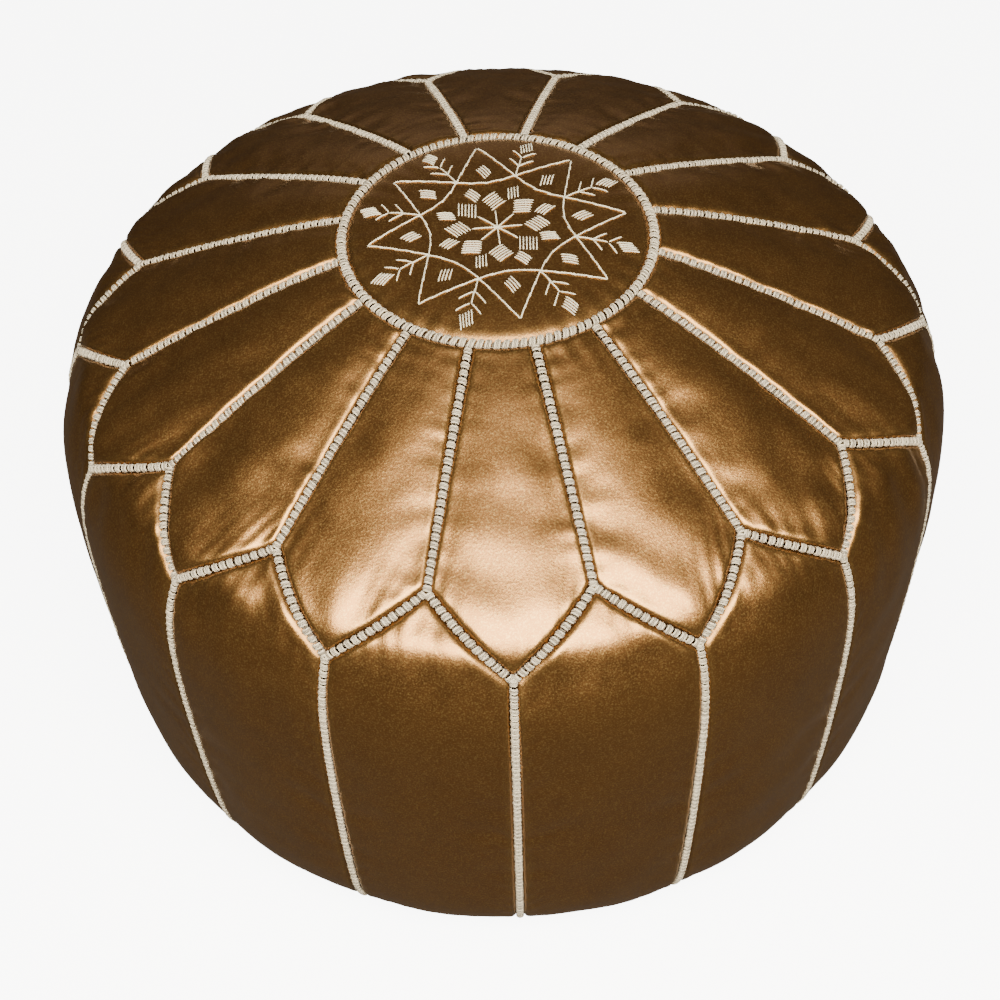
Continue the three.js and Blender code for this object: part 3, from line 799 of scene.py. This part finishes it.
def sewn_leather(name, grid, material, v_ends, gathered, seed):
    """A leather piece from a grid, with grooves and puckers along its seams and its edges turned in"""
    size = bpy.context.scene.pouf_cover
    rows = grid.shape[0] - 1
    columns = grid.shape[1] - 1
    fine = np.einsum("ai,ijk->ajk", spline_weights(rows + 1, crowded(rows * 2)), grid)
    fine = np.einsum("bj,ajk->abk", spline_weights(columns + 1, crowded(columns * 3)), fine)
    left, right = run_lengths(fine, 1)
    top, bottom = run_lengths(fine, 0)
    edges = [(left, top), (right, top), (top * v_ends[0], left), (bottom * v_ends[1], left)]
    seam = np.minimum.reduce([distance for distance, _ in edges])
    normal = grid_normals(fine)
    lift = -size.groove * np.exp(-(seam / GROOVE_WIDTH) ** 2)
    away = (seam / (2 * GROOVE_WIDTH)) ** 2
    roll = away * np.exp(1 - away)
    lift = lift + ROLL_SHARE * size.groove * roll
    for number, (distance, along) in enumerate(edges):
        wander = ripple(fine, 0.06, seed * 10 + number) * 1.5
        strength = 0.5 + 0.5 * ripple(fine, 0.045, seed * 10 + 5 + number)
        wave = np.sin(2 * math.pi * along / PUCKER_LENGTH + wander)
        near = beside_seam(distance, PUCKER_REACH, PUCKER_CLEARANCE)
        lift = lift + size.pucker * strength * wave * near
        if number == gathered:
            fold = ripple(fine * (1.0, 1.0, 0.25), FOLD_SIZE, seed * 10 + 7)
            lift = lift + size.gather * fold * beside_seam(distance, FOLD_REACH, FOLD_CLEARANCE)
    uneven = ripple(fine, 0.05, seed + 300) * np.clip(seam / CALM_MARGIN, 0, 1)
    lift = lift + PANEL_UNEVENNESS * uneven
    fine = fine + normal * lift[..., None]
    fine[..., 2] = np.maximum(fine[..., 2], LOWEST)
    framed, border = bordered(fine)
    framed[border] -= bordered(normal)[0][border] * TURNED_IN
    framed[..., 2] = np.maximum(framed[..., 2], LOWEST)
    seam = np.pad(seam, 1, mode="constant")
    faces = grid_faces(framed.shape[0] - 1, framed.shape[1] - 1)
    piece = add_mesh(name, framed, faces, material, {"seam_distance": seam.ravel()})
    return piece, fine


def surface_area(grid):
    """Area of a grid of points"""
    first = np.cross(grid[1:, :-1] - grid[:-1, :-1], grid[:-1, 1:] - grid[:-1, :-1])
    second = np.cross(grid[1:, :-1] - grid[1:, 1:], grid[:-1, 1:] - grid[1:, 1:])
    return float((np.linalg.norm(first, axis=-1) + np.linalg.norm(second, axis=-1)).sum() / 2)


def declare_leather(piece, node, grid):
    """Rides the leather on the pouf and hides the part it stands in for; its area and its width across are
    worked out, but nothing uses them
    """
    area = surface_area(grid)
    width = float(np.linalg.norm(grid[:, -1] - grid[:, 0], axis=-1).max())
    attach(piece, "pouf")
    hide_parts(node)


def build_panels(prefix, v_ends, gathered):
    """All the panels of one kind, in their order round the pouf"""
    material = leather_material()
    names = sorted(name for name in sewn_panels() if name.startswith(prefix))
    for number, name in enumerate(names):
        seed = number + 1 + len(prefix) * 50
        piece, fine = sewn_leather(
            f"leather_{name}", sewn_panels()[name], material, v_ends, gathered, seed)
        declare_leather(piece, name, fine)


def medallion_swell(share):
    """How far the medallion swells over its seam at shares of its radius"""
    return bpy.context.scene.pouf_cover.crown * (1 - share ** 6)


def build_medallion():
    """The round medallion: a shallow crown, drawn in round the ring seam"""
    size = bpy.context.scene.pouf_cover
    section = Section()
    spokes = 192
    rings = 60
    radii = crowded(2 * rings)[rings:] * 2 - 1
    angle, share = np.meshgrid(np.linspace(0, 2 * math.pi, spokes + 1)[:-1], radii)
    place = share * Section.AT_MEDALLION
    flat = section.cover(angle, place)
    seam = (1 - share) * size.medallion_radius
    groove = 0.6 * size.groove * np.exp(-(seam / RING_GROOVE_WIDTH) ** 2)
    strength = 0.5 + 0.5 * ripple(flat, 0.05, 71)
    wave = np.sin(angle * round(2 * math.pi * size.medallion_radius / RING_PUCKER_LENGTH))
    near = beside_seam(seam, RING_PUCKER_REACH, PUCKER_CLEARANCE)
    uneven = ripple(flat, 0.04, 72) * np.clip(seam / CALM_MARGIN, 0, 1)
    lift = medallion_swell(share) - groove + size.pucker * strength * wave * near
    points = section.cover(angle, place, lift + MEDALLION_UNEVENNESS * uneven)
    rim = points[-1] - np.array([0, 0, TURNED_IN])
    points = np.concatenate([points, rim[None]])
    seam = np.concatenate([seam, np.zeros((1, spokes))])
    faces = turned_faces(rings + 1, spokes)
    material = leather_material()
    piece = add_mesh("leather_medallion", points, faces, material, {"seam_distance": seam.ravel()})
    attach(piece, "pouf")
    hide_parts("medallion_panel")


# ---------------------------------------------------------------- base


BASE_RECESS = 0.0100
RECESS_RADIUS = 0.152
STANDING_RADIUS = 0.178
SLIT_GAP = 0.0003
SLIT_RAMP = 0.004
BASE_THICKNESS = 0.0018


def base_height(radius):
    """Height of the base's underside: a ring that stands, round a raised middle"""
    share = np.clip((STANDING_RADIUS - radius) / (STANDING_RADIUS - RECESS_RADIUS), 0, 1)
    return BASE_RECESS * share * share * (3 - 2 * share)


def half_disc(side, rim, slit_end, slit_half, rows=26, columns=90):
    """A half of the base, from the slit to the rim; side is -1 for the front half"""
    turn, share = np.meshgrid(np.linspace(0, math.pi, columns + 1), np.linspace(0, 1, rows + 1))
    inner_x = 0.99 * rim * np.cos(turn)
    ramp = np.clip((slit_end - np.abs(inner_x)) / SLIT_RAMP + 0.5, 0, 1)
    inner_y = SLIT_GAP + (slit_half - SLIT_GAP) * ramp
    x = inner_x + (rim * np.cos(turn) - inner_x) * share
    y = inner_y + (np.maximum(rim * np.sin(turn), inner_y) - inner_y) * share
    grid = np.stack([x, side * y, base_height(np.hypot(x, y))], axis=-1)
    return grid[:, ::-1] if side > 0 else grid


def build_base():
    """The two halves of the base, with a slit between them for the zip"""
    material = leather_material()
    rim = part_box("base_panel_front")[1].x
    slit_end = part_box("zip_top_stop_front")[1].x + 0.002
    slit_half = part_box("zip_slider")[1].y + 0.0008
    for side, node in ((-1, "base_panel_front"), (1, "base_panel_back")):
        grid = half_disc(side, rim, slit_end, slit_half)[::-1]
        seam = np.minimum(*run_lengths(grid, 0))
        sag = 0.0006 * (0.5 + 0.5 * ripple(grid, 0.06, 90 + side))
        fine = grid.copy()
        fine[..., 2] += sag * np.clip(seam / CALM_MARGIN, 0, 1)
        framed, border = bordered(fine)
        framed[border, 2] += BASE_THICKNESS
        seam = np.pad(seam + 0.006, 1, mode="edge")
        faces = grid_faces(framed.shape[0] - 1, framed.shape[1] - 1)
        piece = add_mesh(f"leather_{node}", framed, faces, material, {"seam_distance": seam.ravel()})
        declare_leather(piece, node, fine)


# ---------------------------------------------------------------- threads


def tubes(name, lines, facing, radius, material, shade, sides=6):
    """Round threads along lines of points; facing gives each line a direction across its run"""
    count, steps = lines.shape[:2]
    run = np.gradient(lines, axis=1)
    run /= np.maximum(np.linalg.norm(run, axis=-1, keepdims=True), 1e-12)
    across = np.broadcast_to(facing[:, None, :], lines.shape)
    across = across - (across * run).sum(-1, keepdims=True) * run
    across /= np.maximum(np.linalg.norm(across, axis=-1, keepdims=True), 1e-12)
    upward = np.cross(run, across)
    turn = np.arange(sides) * 2 * math.pi / sides
    rim = np.cos(turn)[:, None] * across[:, :, None, :] + np.sin(turn)[:, None] * upward[:, :, None, :]
    points = lines[:, :, None, :] + radius * rim
    step_lengths = np.linalg.norm(np.diff(lines, axis=1), axis=-1)
    length = np.concatenate([np.zeros((count, 1)), np.cumsum(step_lengths, axis=1)], axis=1)
    strand = np.empty((count, steps, sides, 3))
    strand[..., 0] = np.cos(turn)
    strand[..., 1] = np.sin(turn)
    strand[..., 2] = length[:, :, None]
    corner = np.arange(count * steps * sides).reshape(count, steps, sides)
    beside = np.roll(corner, -1, axis=2)
    walls = np.stack([corner[:, :-1], beside[:, :-1], beside[:, 1:], corner[:, 1:]], axis=-1).reshape(-1, 4)
    faces = walls.tolist() + corner[:, 0, ::-1].tolist() + corner[:, -1].tolist()
    shades = np.repeat(shade, steps * sides)
    return add_mesh(name, points, faces, material, {"strand": strand, "shade": shades})


class SeamLine:
    """A seam's run over the cover, read by length"""

    def __init__(self, angles, places):
        section = Section()
        self.points = section.cover(angles, places)
        self.outward = section.cover(angles, places, 1.0) - self.points
        steps = np.linalg.norm(np.diff(self.points, axis=0), axis=1)
        self.lengths = np.concatenate([[0], np.cumsum(steps)])
        self.total = self.lengths[-1]

    def _read(self, values, at):
        return np.stack([np.interp(at, self.lengths, values[:, axis]) for axis in range(3)], axis=-1)

    def at(self, length):
        """Point, outward direction and run of the seam at lengths along it"""
        point = self._read(self.points, length)
        outward = self._read(self.outward, length)
        reach = 0.0005
        run = self._read(self.points, length + reach) - self._read(self.points, length - reach)
        run /= np.maximum(np.linalg.norm(run, axis=-1, keepdims=True), 1e-12)
        outward -= (outward * run).sum(-1, keepdims=True) * run
        outward /= np.linalg.norm(outward, axis=-1, keepdims=True)
        return point, outward, run


def overcast(seam, width, rise, pitch, thread, slant, seed, start=0.0, end=0.0):
    """Groups of three arched threads across a seam, the outer two shorter and lower, over a tie thread
    painted near black as shade.
    Each strand has its offset along the seam, share of the width, height and a range of painted shading: dark
    for the middle strand and the tie thread, bright for the outer two"""
    chance = np.random.RandomState(seed)
    usable = seam.total - start - end
    groups = max(1, round(usable / pitch))
    step = usable / groups
    spacing = min(1.9 * thread, 0.28 * step)
    arch = np.linspace(-1, 1, 9)
    sideways_shape = np.sin(arch * math.pi / 2)
    upward_shape = np.cos(arch * math.pi / 2) ** 0.7
    # Painted shading: the middle strand is darker and the tie thread near black, as shade; the outer two keep
    # the thread's own bright colour
    strands = (
        (-spacing, 0.84, 0.80, (0.70, 1.00)),
        (0.0, 1.00, 0.86, (0.05, 0.45)),
        (spacing, 0.84, 0.80, (0.70, 1.00)),
        (0.5 * step, 0.55, -0.30, (0.00, 0.05)),
    )
    lines, facing, shades = [], [], []
    for group in range(groups):
        middle = start + (group + 0.5) * step + chance.uniform(-0.05, 0.05) * step
        wide = width * chance.uniform(0.92, 1.08)
        lean = slant + chance.uniform(-0.10, 0.10)
        for offset, share, height, painted_shading in strands:
            tilt = lean * chance.uniform(0.85, 1.15)
            point, outward, run = seam.at(np.full(arch.shape, middle + offset))
            sideways = np.cross(outward, run)
            lift = rise * (height * chance.uniform(0.92, 1.08) * upward_shape - 0.45)
            line = (
                point
                + sideways * (sideways_shape * wide * share / 2)[:, None]
                + outward * lift[:, None]
                + run * (arch * tilt * wide / 2)[:, None]
            )
            lines.append(line)
            facing.append(run[0])
            shades.append(chance.uniform(*painted_shading))
    return lines, facing, shades


def sew(name, seams, node, material):
    """Makes one piece of seam threads from the groups of several seams"""
    look = bpy.context.scene.pouf_stitching
    lines, facing, shades = [], [], []
    for seam in seams:
        for whole, part in zip((lines, facing, shades), seam):
            whole.extend(part)
    piece = tubes(name, np.array(lines), np.array(facing), look.thread_radius, material, np.array(shades))
    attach(piece, "pouf")
    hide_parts(node)
    return piece


def seam_thread_material():
    look = bpy.context.scene.pouf_stitching
    return thread_material("plied_seam_thread", look.colour, look.shadow, look.thread_radius)


def straight_seam(start, end, steps=120):
    """The seam between two points given as angle and place"""
    share = np.linspace(0, 1, steps)
    places = Section().between(start[1], end[1], share)
    return SeamLine(start[0] + (end[0] - start[0]) * share, places)


def round_seam(place, steps):
    """The seam that runs round the pouf at a place"""
    return SeamLine(np.linspace(0, 2 * math.pi, steps), np.full(steps, place))


def build_top_seams():
    """The braided ring seam and the sixteen radial seams"""
    look = bpy.context.scene.pouf_stitching
    material = seam_thread_material()
    node = "medallion_and_radial_stitching"
    braid = overcast(
        round_seam(Section.AT_MEDALLION, 400), look.ring_width, 1.05 * look.rise, look.pitch,
        look.thread_radius, 0.30, 500)
    sew("ring_stitching", [braid], node, material)
    for index in range(PANELS):
        angle = (index + 0.5) * PANEL_ANGLE
        seam = straight_seam((angle, Section.AT_MEDALLION), (angle, Section.AT_SHOULDER))
        groups = overcast(
            seam, look.width, look.rise, look.pitch, look.thread_radius, 0.16, 600 + index,
            start=0.5 * look.ring_width, end=-0.25 * look.width)
        sew(f"radial_stitching_{index + 1:02d}", [groups], node, material)


def build_zigzag_seam():
    """The zigzag seam between the petals and the side panels"""
    look = bpy.context.scene.pouf_stitching
    material = seam_thread_material()
    for index in range(PANELS):
        tip = (index * PANEL_ANGLE, Section.AT_TIP)
        seams = []
        for turn in (-0.5, 0.5):
            seam = straight_seam((tip[0] + turn * PANEL_ANGLE, Section.AT_SHOULDER), tip)
            seams.append(overcast(
                seam, look.width, look.rise, look.pitch, look.thread_radius, -0.30 * turn, 700 + index,
                start=0.15 * look.width, end=0.0))
        sew(f"zigzag_stitching_{index + 1:02d}", seams, "zigzag_stitching", material)


def build_side_seams():
    """The sixteen side seams and the seam round the base"""
    look = bpy.context.scene.pouf_stitching
    material = seam_thread_material()
    node = "side_and_base_stitching"
    for index in range(PANELS):
        angle = index * PANEL_ANGLE
        seam = straight_seam((angle, Section.AT_TIP), (angle, Section.AT_BASE))
        groups = overcast(
            seam, 0.92 * look.width, look.rise, 0.90 * look.pitch, look.thread_radius, 0.16, 800 + index,
            start=-0.15 * look.width)
        sew(f"side_stitching_{index + 1:02d}", [groups], node, material)
    groups = overcast(
        round_seam(Section.AT_BASE, 500), 0.7 * look.width, 0.8 * look.rise, 1.1 * look.pitch,
        look.thread_radius, 0.1, 900)
    sew("base_stitching", [groups], node, material)


# ---------------------------------------------------------------- embroidery


def on_medallion(flat, lift):
    """Points over the medallion from flat x and y, where x is to the right and y to the back"""
    section = Section()
    radius = np.hypot(flat[..., 0], flat[..., 1])
    angle = np.arctan2(flat[..., 0], -flat[..., 1])
    place = section.place_at(radius)
    share = np.minimum(place / Section.AT_MEDALLION, 1)
    return section.cover(angle, place, medallion_swell(share) + lift)


def spot(radius, angle):
    """Flat x and y at a radius and an angle from the front"""
    return np.array([radius * math.sin(angle), -radius * math.cos(angle)])


def one_stitch(start, end, crown=1.0):
    """A single straight stitch that dives into the leather at both ends"""
    look = bpy.context.scene.pouf_embroidery
    share = np.linspace(0, 1, 7)
    flat = np.asarray(start) + (np.asarray(end) - np.asarray(start)) * share[:, None]
    depth = np.array([-1.6, 0.35, 0.75, 0.85, 0.75, 0.35, -1.6]) * look.thread_radius
    return on_medallion(flat, depth * crown)


def stem_stitches(route, length, chance):
    """Overlapping stitches along a flat route of points"""
    route = np.asarray(route)
    run = np.concatenate([[0], np.cumsum(np.linalg.norm(np.diff(route, axis=0), axis=1))])
    count = max(1, round(run[-1] / length))
    look = bpy.context.scene.pouf_embroidery
    stitches = []
    overlap = 0.24 * length
    for number in range(count):
        begin = max(0, number * run[-1] / count - overlap)
        finish = min(run[-1], (number + 1) * run[-1] / count + overlap)
        ends = [np.array([np.interp(at, run, route[:, axis]) for axis in (0, 1)]) for at in (begin, finish)]
        direction = (ends[1] - ends[0]) / np.linalg.norm(ends[1] - ends[0])
        aside = np.array([-direction[1], direction[0]]) * look.thread_radius * chance.uniform(0.4, 0.8)
        stitches.append(one_stitch(ends[0] - aside, ends[1] + aside))
    return stitches


def satin_patch(radius, angle, slant, threads, length, spacing, shear, chance):
    """A parallelogram of side-by-side stitches, slanted to the line from the middle"""
    middle = spot(radius, angle)
    along = spot(1.0, angle + slant)
    across = np.array([-along[1], along[0]])
    stitches = []
    for number in range(threads):
        aside = (number - (threads - 1) / 2) * spacing
        centre = middle + across * aside + along * (shear * aside)
        half = length / 2 * chance.uniform(0.92, 1.06)
        nudge = across * chance.uniform(-0.08, 0.08) * spacing
        stitches.append(one_stitch(centre - along * half, centre + along * half + nudge))
    return stitches


def embroider(name, stitches, node, seed):
    """Makes one piece of embroidery threads"""
    look = bpy.context.scene.pouf_embroidery
    material = thread_material("plied_embroidery_thread", look.colour, look.shadow, look.thread_radius)
    lines = np.array(stitches)
    facing = np.tile(np.array([0.0, 0.0, 1.0]), (len(lines), 1))
    shade = np.random.RandomState(seed).uniform(0.45, 1.0, len(lines))
    piece = tubes(name, lines, facing, look.thread_radius, material, shade)
    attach(piece, "pouf")
    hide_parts(node)


def star_route(look, tip_angle, turn):
    """From one point of the star through two crossings to the next but one, bending in at the middle"""
    last = tip_angle + 2 * turn
    middle = tip_angle + turn
    crossings = (middle - turn / 2, middle + turn / 2)
    route = [spot(look.tip_radius, tip_angle), spot(look.crossing_radius, crossings[0])]
    for share in np.linspace(0, 1, 9)[1:-1]:
        bend = look.crossing_radius + (look.bend_radius - look.crossing_radius) * 4 * share * (1 - share)
        route.append(spot(bend, crossings[0] + (crossings[1] - crossings[0]) * share))
    return route + [spot(look.crossing_radius, crossings[1]), spot(look.tip_radius, last)]


def build_star():
    """The interlaced star, its branches and the patches in its points and at the branch ends"""
    look = bpy.context.scene.pouf_embroidery
    turn = 2 * math.pi / look.points
    chance = np.random.RandomState(41)
    stitches = []
    stem = 0.0185
    stitch = 0.0088
    for index in range(look.points):
        tip_angle = look.turn + index * turn
        branch = tip_angle + turn / 2
        stitches += stem_stitches(star_route(look, tip_angle, turn), stitch, chance)
        stitches += satin_patch(
            0.0470, tip_angle, slant=0.42, threads=4, length=0.0104, spacing=0.00175,
            shear=-0.35, chance=chance)
        inner = look.crossing_radius
        stitches += stem_stitches([spot(inner, branch), spot(inner + stem, branch)], stitch, chance)
        stitches += satin_patch(
            look.branch_radius, branch, slant=0.30, threads=5, length=0.0104, spacing=0.00155,
            shear=-0.45, chance=chance)
        for share, reach in ((0.50, 0.0105), (0.95, 0.0098)):
            root = spot(inner + stem * share, branch)
            for side in (-1, 1):
                leaf = spot(1.0, branch + side * 0.82)
                stitches.append(one_stitch(root, root + leaf * reach * chance.uniform(0.92, 1.08)))
    embroider("star_threads", stitches, "star_embroidery", 42)


def build_rosette():
    """The rosette in the middle: spokes, large patches on them and small patches between"""
    look = bpy.context.scene.pouf_embroidery
    turn = 2 * math.pi / look.points
    chance = np.random.RandomState(51)
    stitches = []
    spoke = 0.0152
    for index in range(look.points):
        angle = look.turn - math.radians(4) + index * turn
        stitches.append(one_stitch(spot(-0.0016, angle), spot(spoke, angle), crown=1.2))
        stitches += satin_patch(
            0.0215, angle, slant=-0.88, threads=6, length=0.0118, spacing=0.00180,
            shear=0.12, chance=chance)
        stitches += satin_patch(
            0.0292, angle + turn / 2, slant=0.32, threads=4, length=0.0106, spacing=0.00170,
            shear=-0.3, chance=chance)
    embroider("rosette_threads", stitches, "rosette_embroidery", 52)


# ---------------------------------------------------------------- inside and zip


PIN_HOLE = 0.0002


def floor_ring(rim_height, floor, end):
    """Radii and heights of an underside, from its rim up into the recess over the zip"""
    return np.array([(0.19, rim_height), (0.165, floor - 0.002), (0.15, floor), (end, floor)])


def revolved(place_end, lift, underside, spokes=96, rings=60):
    """A surface inside the cover, turned round the axis, that ends in an underside"""
    places = np.linspace(0.0, place_end, rings)
    profile = Section().cover(np.full(rings, math.pi / 2), places, lift)[:, [0, 2]]
    profile[0, 0] = PIN_HOLE
    profile = np.concatenate([profile, underside])
    turn = np.linspace(0, 2 * math.pi, spokes + 1)[:-1]
    points = np.stack([
        profile[:, None, 0] * np.sin(turn),
        -profile[:, None, 0] * np.cos(turn),
        np.repeat(profile[:, None, 1], spokes, axis=1),
    ], axis=-1)
    return points, turned_faces(len(profile) - 1, spokes)


def build_wadding():
    """The lumpy wadding that fills the pouf"""
    low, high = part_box("filling")
    depth = bpy.context.scene.pouf_cover.height - high.z
    clearance = 0.002
    underside = floor_ring(low.z + 0.004, 0.0245, PIN_HOLE)
    points, faces = revolved(0.93, -depth - clearance, underside)
    lumps = 0.0018 * ripple(points, 0.05, 31)
    points = points + grid_normals(points) * (lumps - clearance)[..., None]
    points[..., 2] = np.maximum(points[..., 2], low.z + 0.001)
    wadding = add_mesh("wadding", points, faces, wadding_material())
    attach(wadding, "pouf")
    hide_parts("filling")


def build_bag():
    """The cotton bag that holds the wadding, as an inner and an outer layer open over the zip"""
    low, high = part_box("cotton_lining")
    depth = bpy.context.scene.pouf_cover.height - high.z
    thickness = 0.0008
    thread = 0.0008
    slit = 0.012
    outer, faces = revolved(0.94, -depth, floor_ring(low.z + 0.002, 0.0225, slit))
    inner = outer - grid_normals(outer) * thickness
    points = np.concatenate([outer.reshape(-1, 3), inner.reshape(-1, 3)])
    faces = np.concatenate([faces, faces[:, ::-1] + outer.shape[0] * outer.shape[1]])
    cotton = cotton_material("bag_cotton", (0.78, 0.73, 0.62), thread)
    bag = add_mesh("cotton_bag", points, faces, cotton)
    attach(bag, "pouf")
    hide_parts("cotton_lining")


def build_zip():
    """Finishes of the zip's own pieces"""
    brass = brass_material()
    tape = cotton_material("woven_zip_tape", (0.085, 0.055, 0.032), 0.0006)
    for name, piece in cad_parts.items():
        if not name.startswith("zip_"):
            continue
        for place in piece.material_slots:
            place.material = tape if name.startswith("zip_tape") else brass


# ---------------------------------------------------------------- stage


def add_light(name, place, aim, size, power, colour=(1.0, 1.0, 1.0)):
    """An oval area light, whose size is its width and its height"""
    light = bpy.data.lights.new(name, "AREA")
    light.shape = "ELLIPSE"
    light.size, light.size_y = size
    light.energy = power
    light.color = colour
    lamp = bpy.data.objects.new(name, light)
    lamp.location = place
    lamp.rotation_euler = (Vector(aim) - Vector(place)).to_track_quat("-Z", "Y").to_euler()
    bpy.context.scene.collection.objects.link(lamp)


def around(centre, azimuth, elevation, distance):
    """A point round a centre; azimuth 0 is in front, 90 degrees is to the right"""
    turn = math.radians(azimuth)
    climb = math.radians(elevation)
    way = Vector((math.sin(turn) * math.cos(climb), -math.cos(turn) * math.cos(climb), math.sin(climb)))
    return Vector(centre) + way * distance


def place_camera(look):
    """The camera, aimed a little beside the pouf's axis"""
    aside = -0.0036
    behind = 0.0053
    sensor = 36
    aim = Vector((aside, behind, look.aim_height))
    back = Vector((0, -math.cos(look.elevation), math.sin(look.elevation)))
    right = Vector((1, 0, 0))
    up = back.cross(right)
    cosine = math.cos(look.roll)
    sine = math.sin(look.roll)
    turned_right = right * cosine - up * sine
    turned_up = right * sine + up * cosine
    camera_data = bpy.data.cameras.new("camera")
    camera_data.lens = look.lens
    camera_data.sensor_width = sensor
    camera = bpy.data.objects.new("camera", camera_data)
    axes = Matrix((turned_right, turned_up, back)).transposed().to_4x4()
    camera.matrix_world = Matrix.Translation(aim + back * look.distance) @ axes
    bpy.context.scene.collection.objects.link(camera)
    bpy.context.scene.camera = camera


def build_stage():
    """The floor, the lights, the room's light and the camera"""
    look = bpy.context.scene.pouf_stage
    side = 12.0
    corners = [(-side, -side, 0), (side, -side, 0), (side, side, 0), (-side, side, 0)]
    floor = add_mesh("floor", corners, [(0, 1, 2, 3)], floor_material())
    floor.location.z = -0.0005
    middle = (0, 0, 0.2)
    warm = (1.0, 0.98, 0.84)
    add_light("key_light", around(middle, 3, 51, 1.7), middle, (2.1, 1.15), look.key_power, warm)
    add_light("top_light", around(middle, 0, 80, 1.9), middle, (1.2, 1.2), look.top_power)
    add_light("back_light", around(middle, 180, 18, 2.2), middle, (2.0, 0.7), look.back_power)
    bpy.context.scene.world = room_world(look.sky)
    place_camera(look)


# ---------------------------------------------------------------- operators


class POUF_OT_stage(bpy.types.Operator):
    """Sets up the floor, the lights and the camera"""

    bl_idname = "pouf.stage"
    bl_label = "Stage"

    def execute(self, context):
        build_stage()
        return {"FINISHED"}


class POUF_OT_medallion(bpy.types.Operator):
    """Makes the round leather medallion"""

    bl_idname = "pouf.medallion"
    bl_label = "Medallion"

    def execute(self, context):
        build_medallion()
        return {"FINISHED"}


class POUF_OT_petals(bpy.types.Operator):
    """Makes the top petals"""

    bl_idname = "pouf.petals"
    bl_label = "Top petals"

    def execute(self, context):
        build_panels("top_petal", (1.0, 0.72), gathered=3)
        return {"FINISHED"}


class POUF_OT_sides(bpy.types.Operator):
    """Makes the side panels"""

    bl_idname = "pouf.sides"
    bl_label = "Side panels"

    def execute(self, context):
        build_panels("side_panel", (0.72, 1.0), gathered=2)
        return {"FINISHED"}


class POUF_OT_base(bpy.types.Operator):
    """Makes the two halves of the base"""

    bl_idname = "pouf.base"
    bl_label = "Base"

    def execute(self, context):
        build_base()
        return {"FINISHED"}


class POUF_OT_top_seams(bpy.types.Operator):
    """Sews the ring and radial seams"""

    bl_idname = "pouf.top_seams"
    bl_label = "Ring and radial stitching"

    def execute(self, context):
        build_top_seams()
        return {"FINISHED"}


class POUF_OT_zigzag(bpy.types.Operator):
    """Sews the zigzag seam"""

    bl_idname = "pouf.zigzag"
    bl_label = "Zigzag stitching"

    def execute(self, context):
        build_zigzag_seam()
        return {"FINISHED"}


class POUF_OT_side_seams(bpy.types.Operator):
    """Sews the side seams and the base seam"""

    bl_idname = "pouf.side_seams"
    bl_label = "Side and base stitching"

    def execute(self, context):
        build_side_seams()
        return {"FINISHED"}


class POUF_OT_embroidery(bpy.types.Operator):
    """Embroiders the star and the rosette"""

    bl_idname = "pouf.embroidery"
    bl_label = "Embroidery"

    def execute(self, context):
        build_star()
        build_rosette()
        return {"FINISHED"}


class POUF_OT_inside(bpy.types.Operator):
    """Makes the filling and the cotton bag"""

    bl_idname = "pouf.inside"
    bl_label = "Filling and lining"

    def execute(self, context):
        build_wadding()
        build_bag()
        return {"FINISHED"}


class POUF_OT_zip(bpy.types.Operator):
    """Finishes the zip"""

    bl_idname = "pouf.zip"
    bl_label = "Zip"

    def execute(self, context):
        build_zip()
        return {"FINISHED"}


OPERATORS = (
    POUF_OT_stage,
    POUF_OT_medallion,
    POUF_OT_petals,
    POUF_OT_sides,
    POUF_OT_base,
    POUF_OT_top_seams,
    POUF_OT_zigzag,
    POUF_OT_side_seams,
    POUF_OT_embroidery,
    POUF_OT_inside,
    POUF_OT_zip,
)


class POUF_PT_panel(bpy.types.Panel):
    """Lists the pouf's pieces"""

    bl_idname = "POUF_PT_panel"
    bl_label = "Pouf"
    bl_space_type = "VIEW_3D"
    bl_region_type = "UI"
    bl_category = "Pouf"

    def draw(self, context):
        for operator in OPERATORS:
            self.layout.operator(operator.bl_idname)


SETTINGS = {
    "pouf_cover": PoufCover,
    "pouf_leather": PoufLeather,
    "pouf_stitching": PoufStitching,
    "pouf_embroidery": PoufEmbroidery,
    "pouf_stage": PoufStage,
}


def register():
    for group in SETTINGS.values():
        bpy.utils.register_class(group)
    for name, group in SETTINGS.items():
        setattr(bpy.types.Scene, name, PointerProperty(type=group))
    for operator in OPERATORS:
        bpy.utils.register_class(operator)
    bpy.utils.register_class(POUF_PT_panel)


def unregister():
    bpy.utils.unregister_class(POUF_PT_panel)
    for operator in reversed(OPERATORS):
        bpy.utils.unregister_class(operator)
    for name in SETTINGS:
        delattr(bpy.types.Scene, name)
    for group in reversed(list(SETTINGS.values())):
        bpy.utils.unregister_class(group)


def main():
    register()
    for operator in OPERATORS:
        family, name = operator.bl_idname.split(".")
        getattr(getattr(bpy.ops, family), name)()


if __name__ == "__main__":
    main()
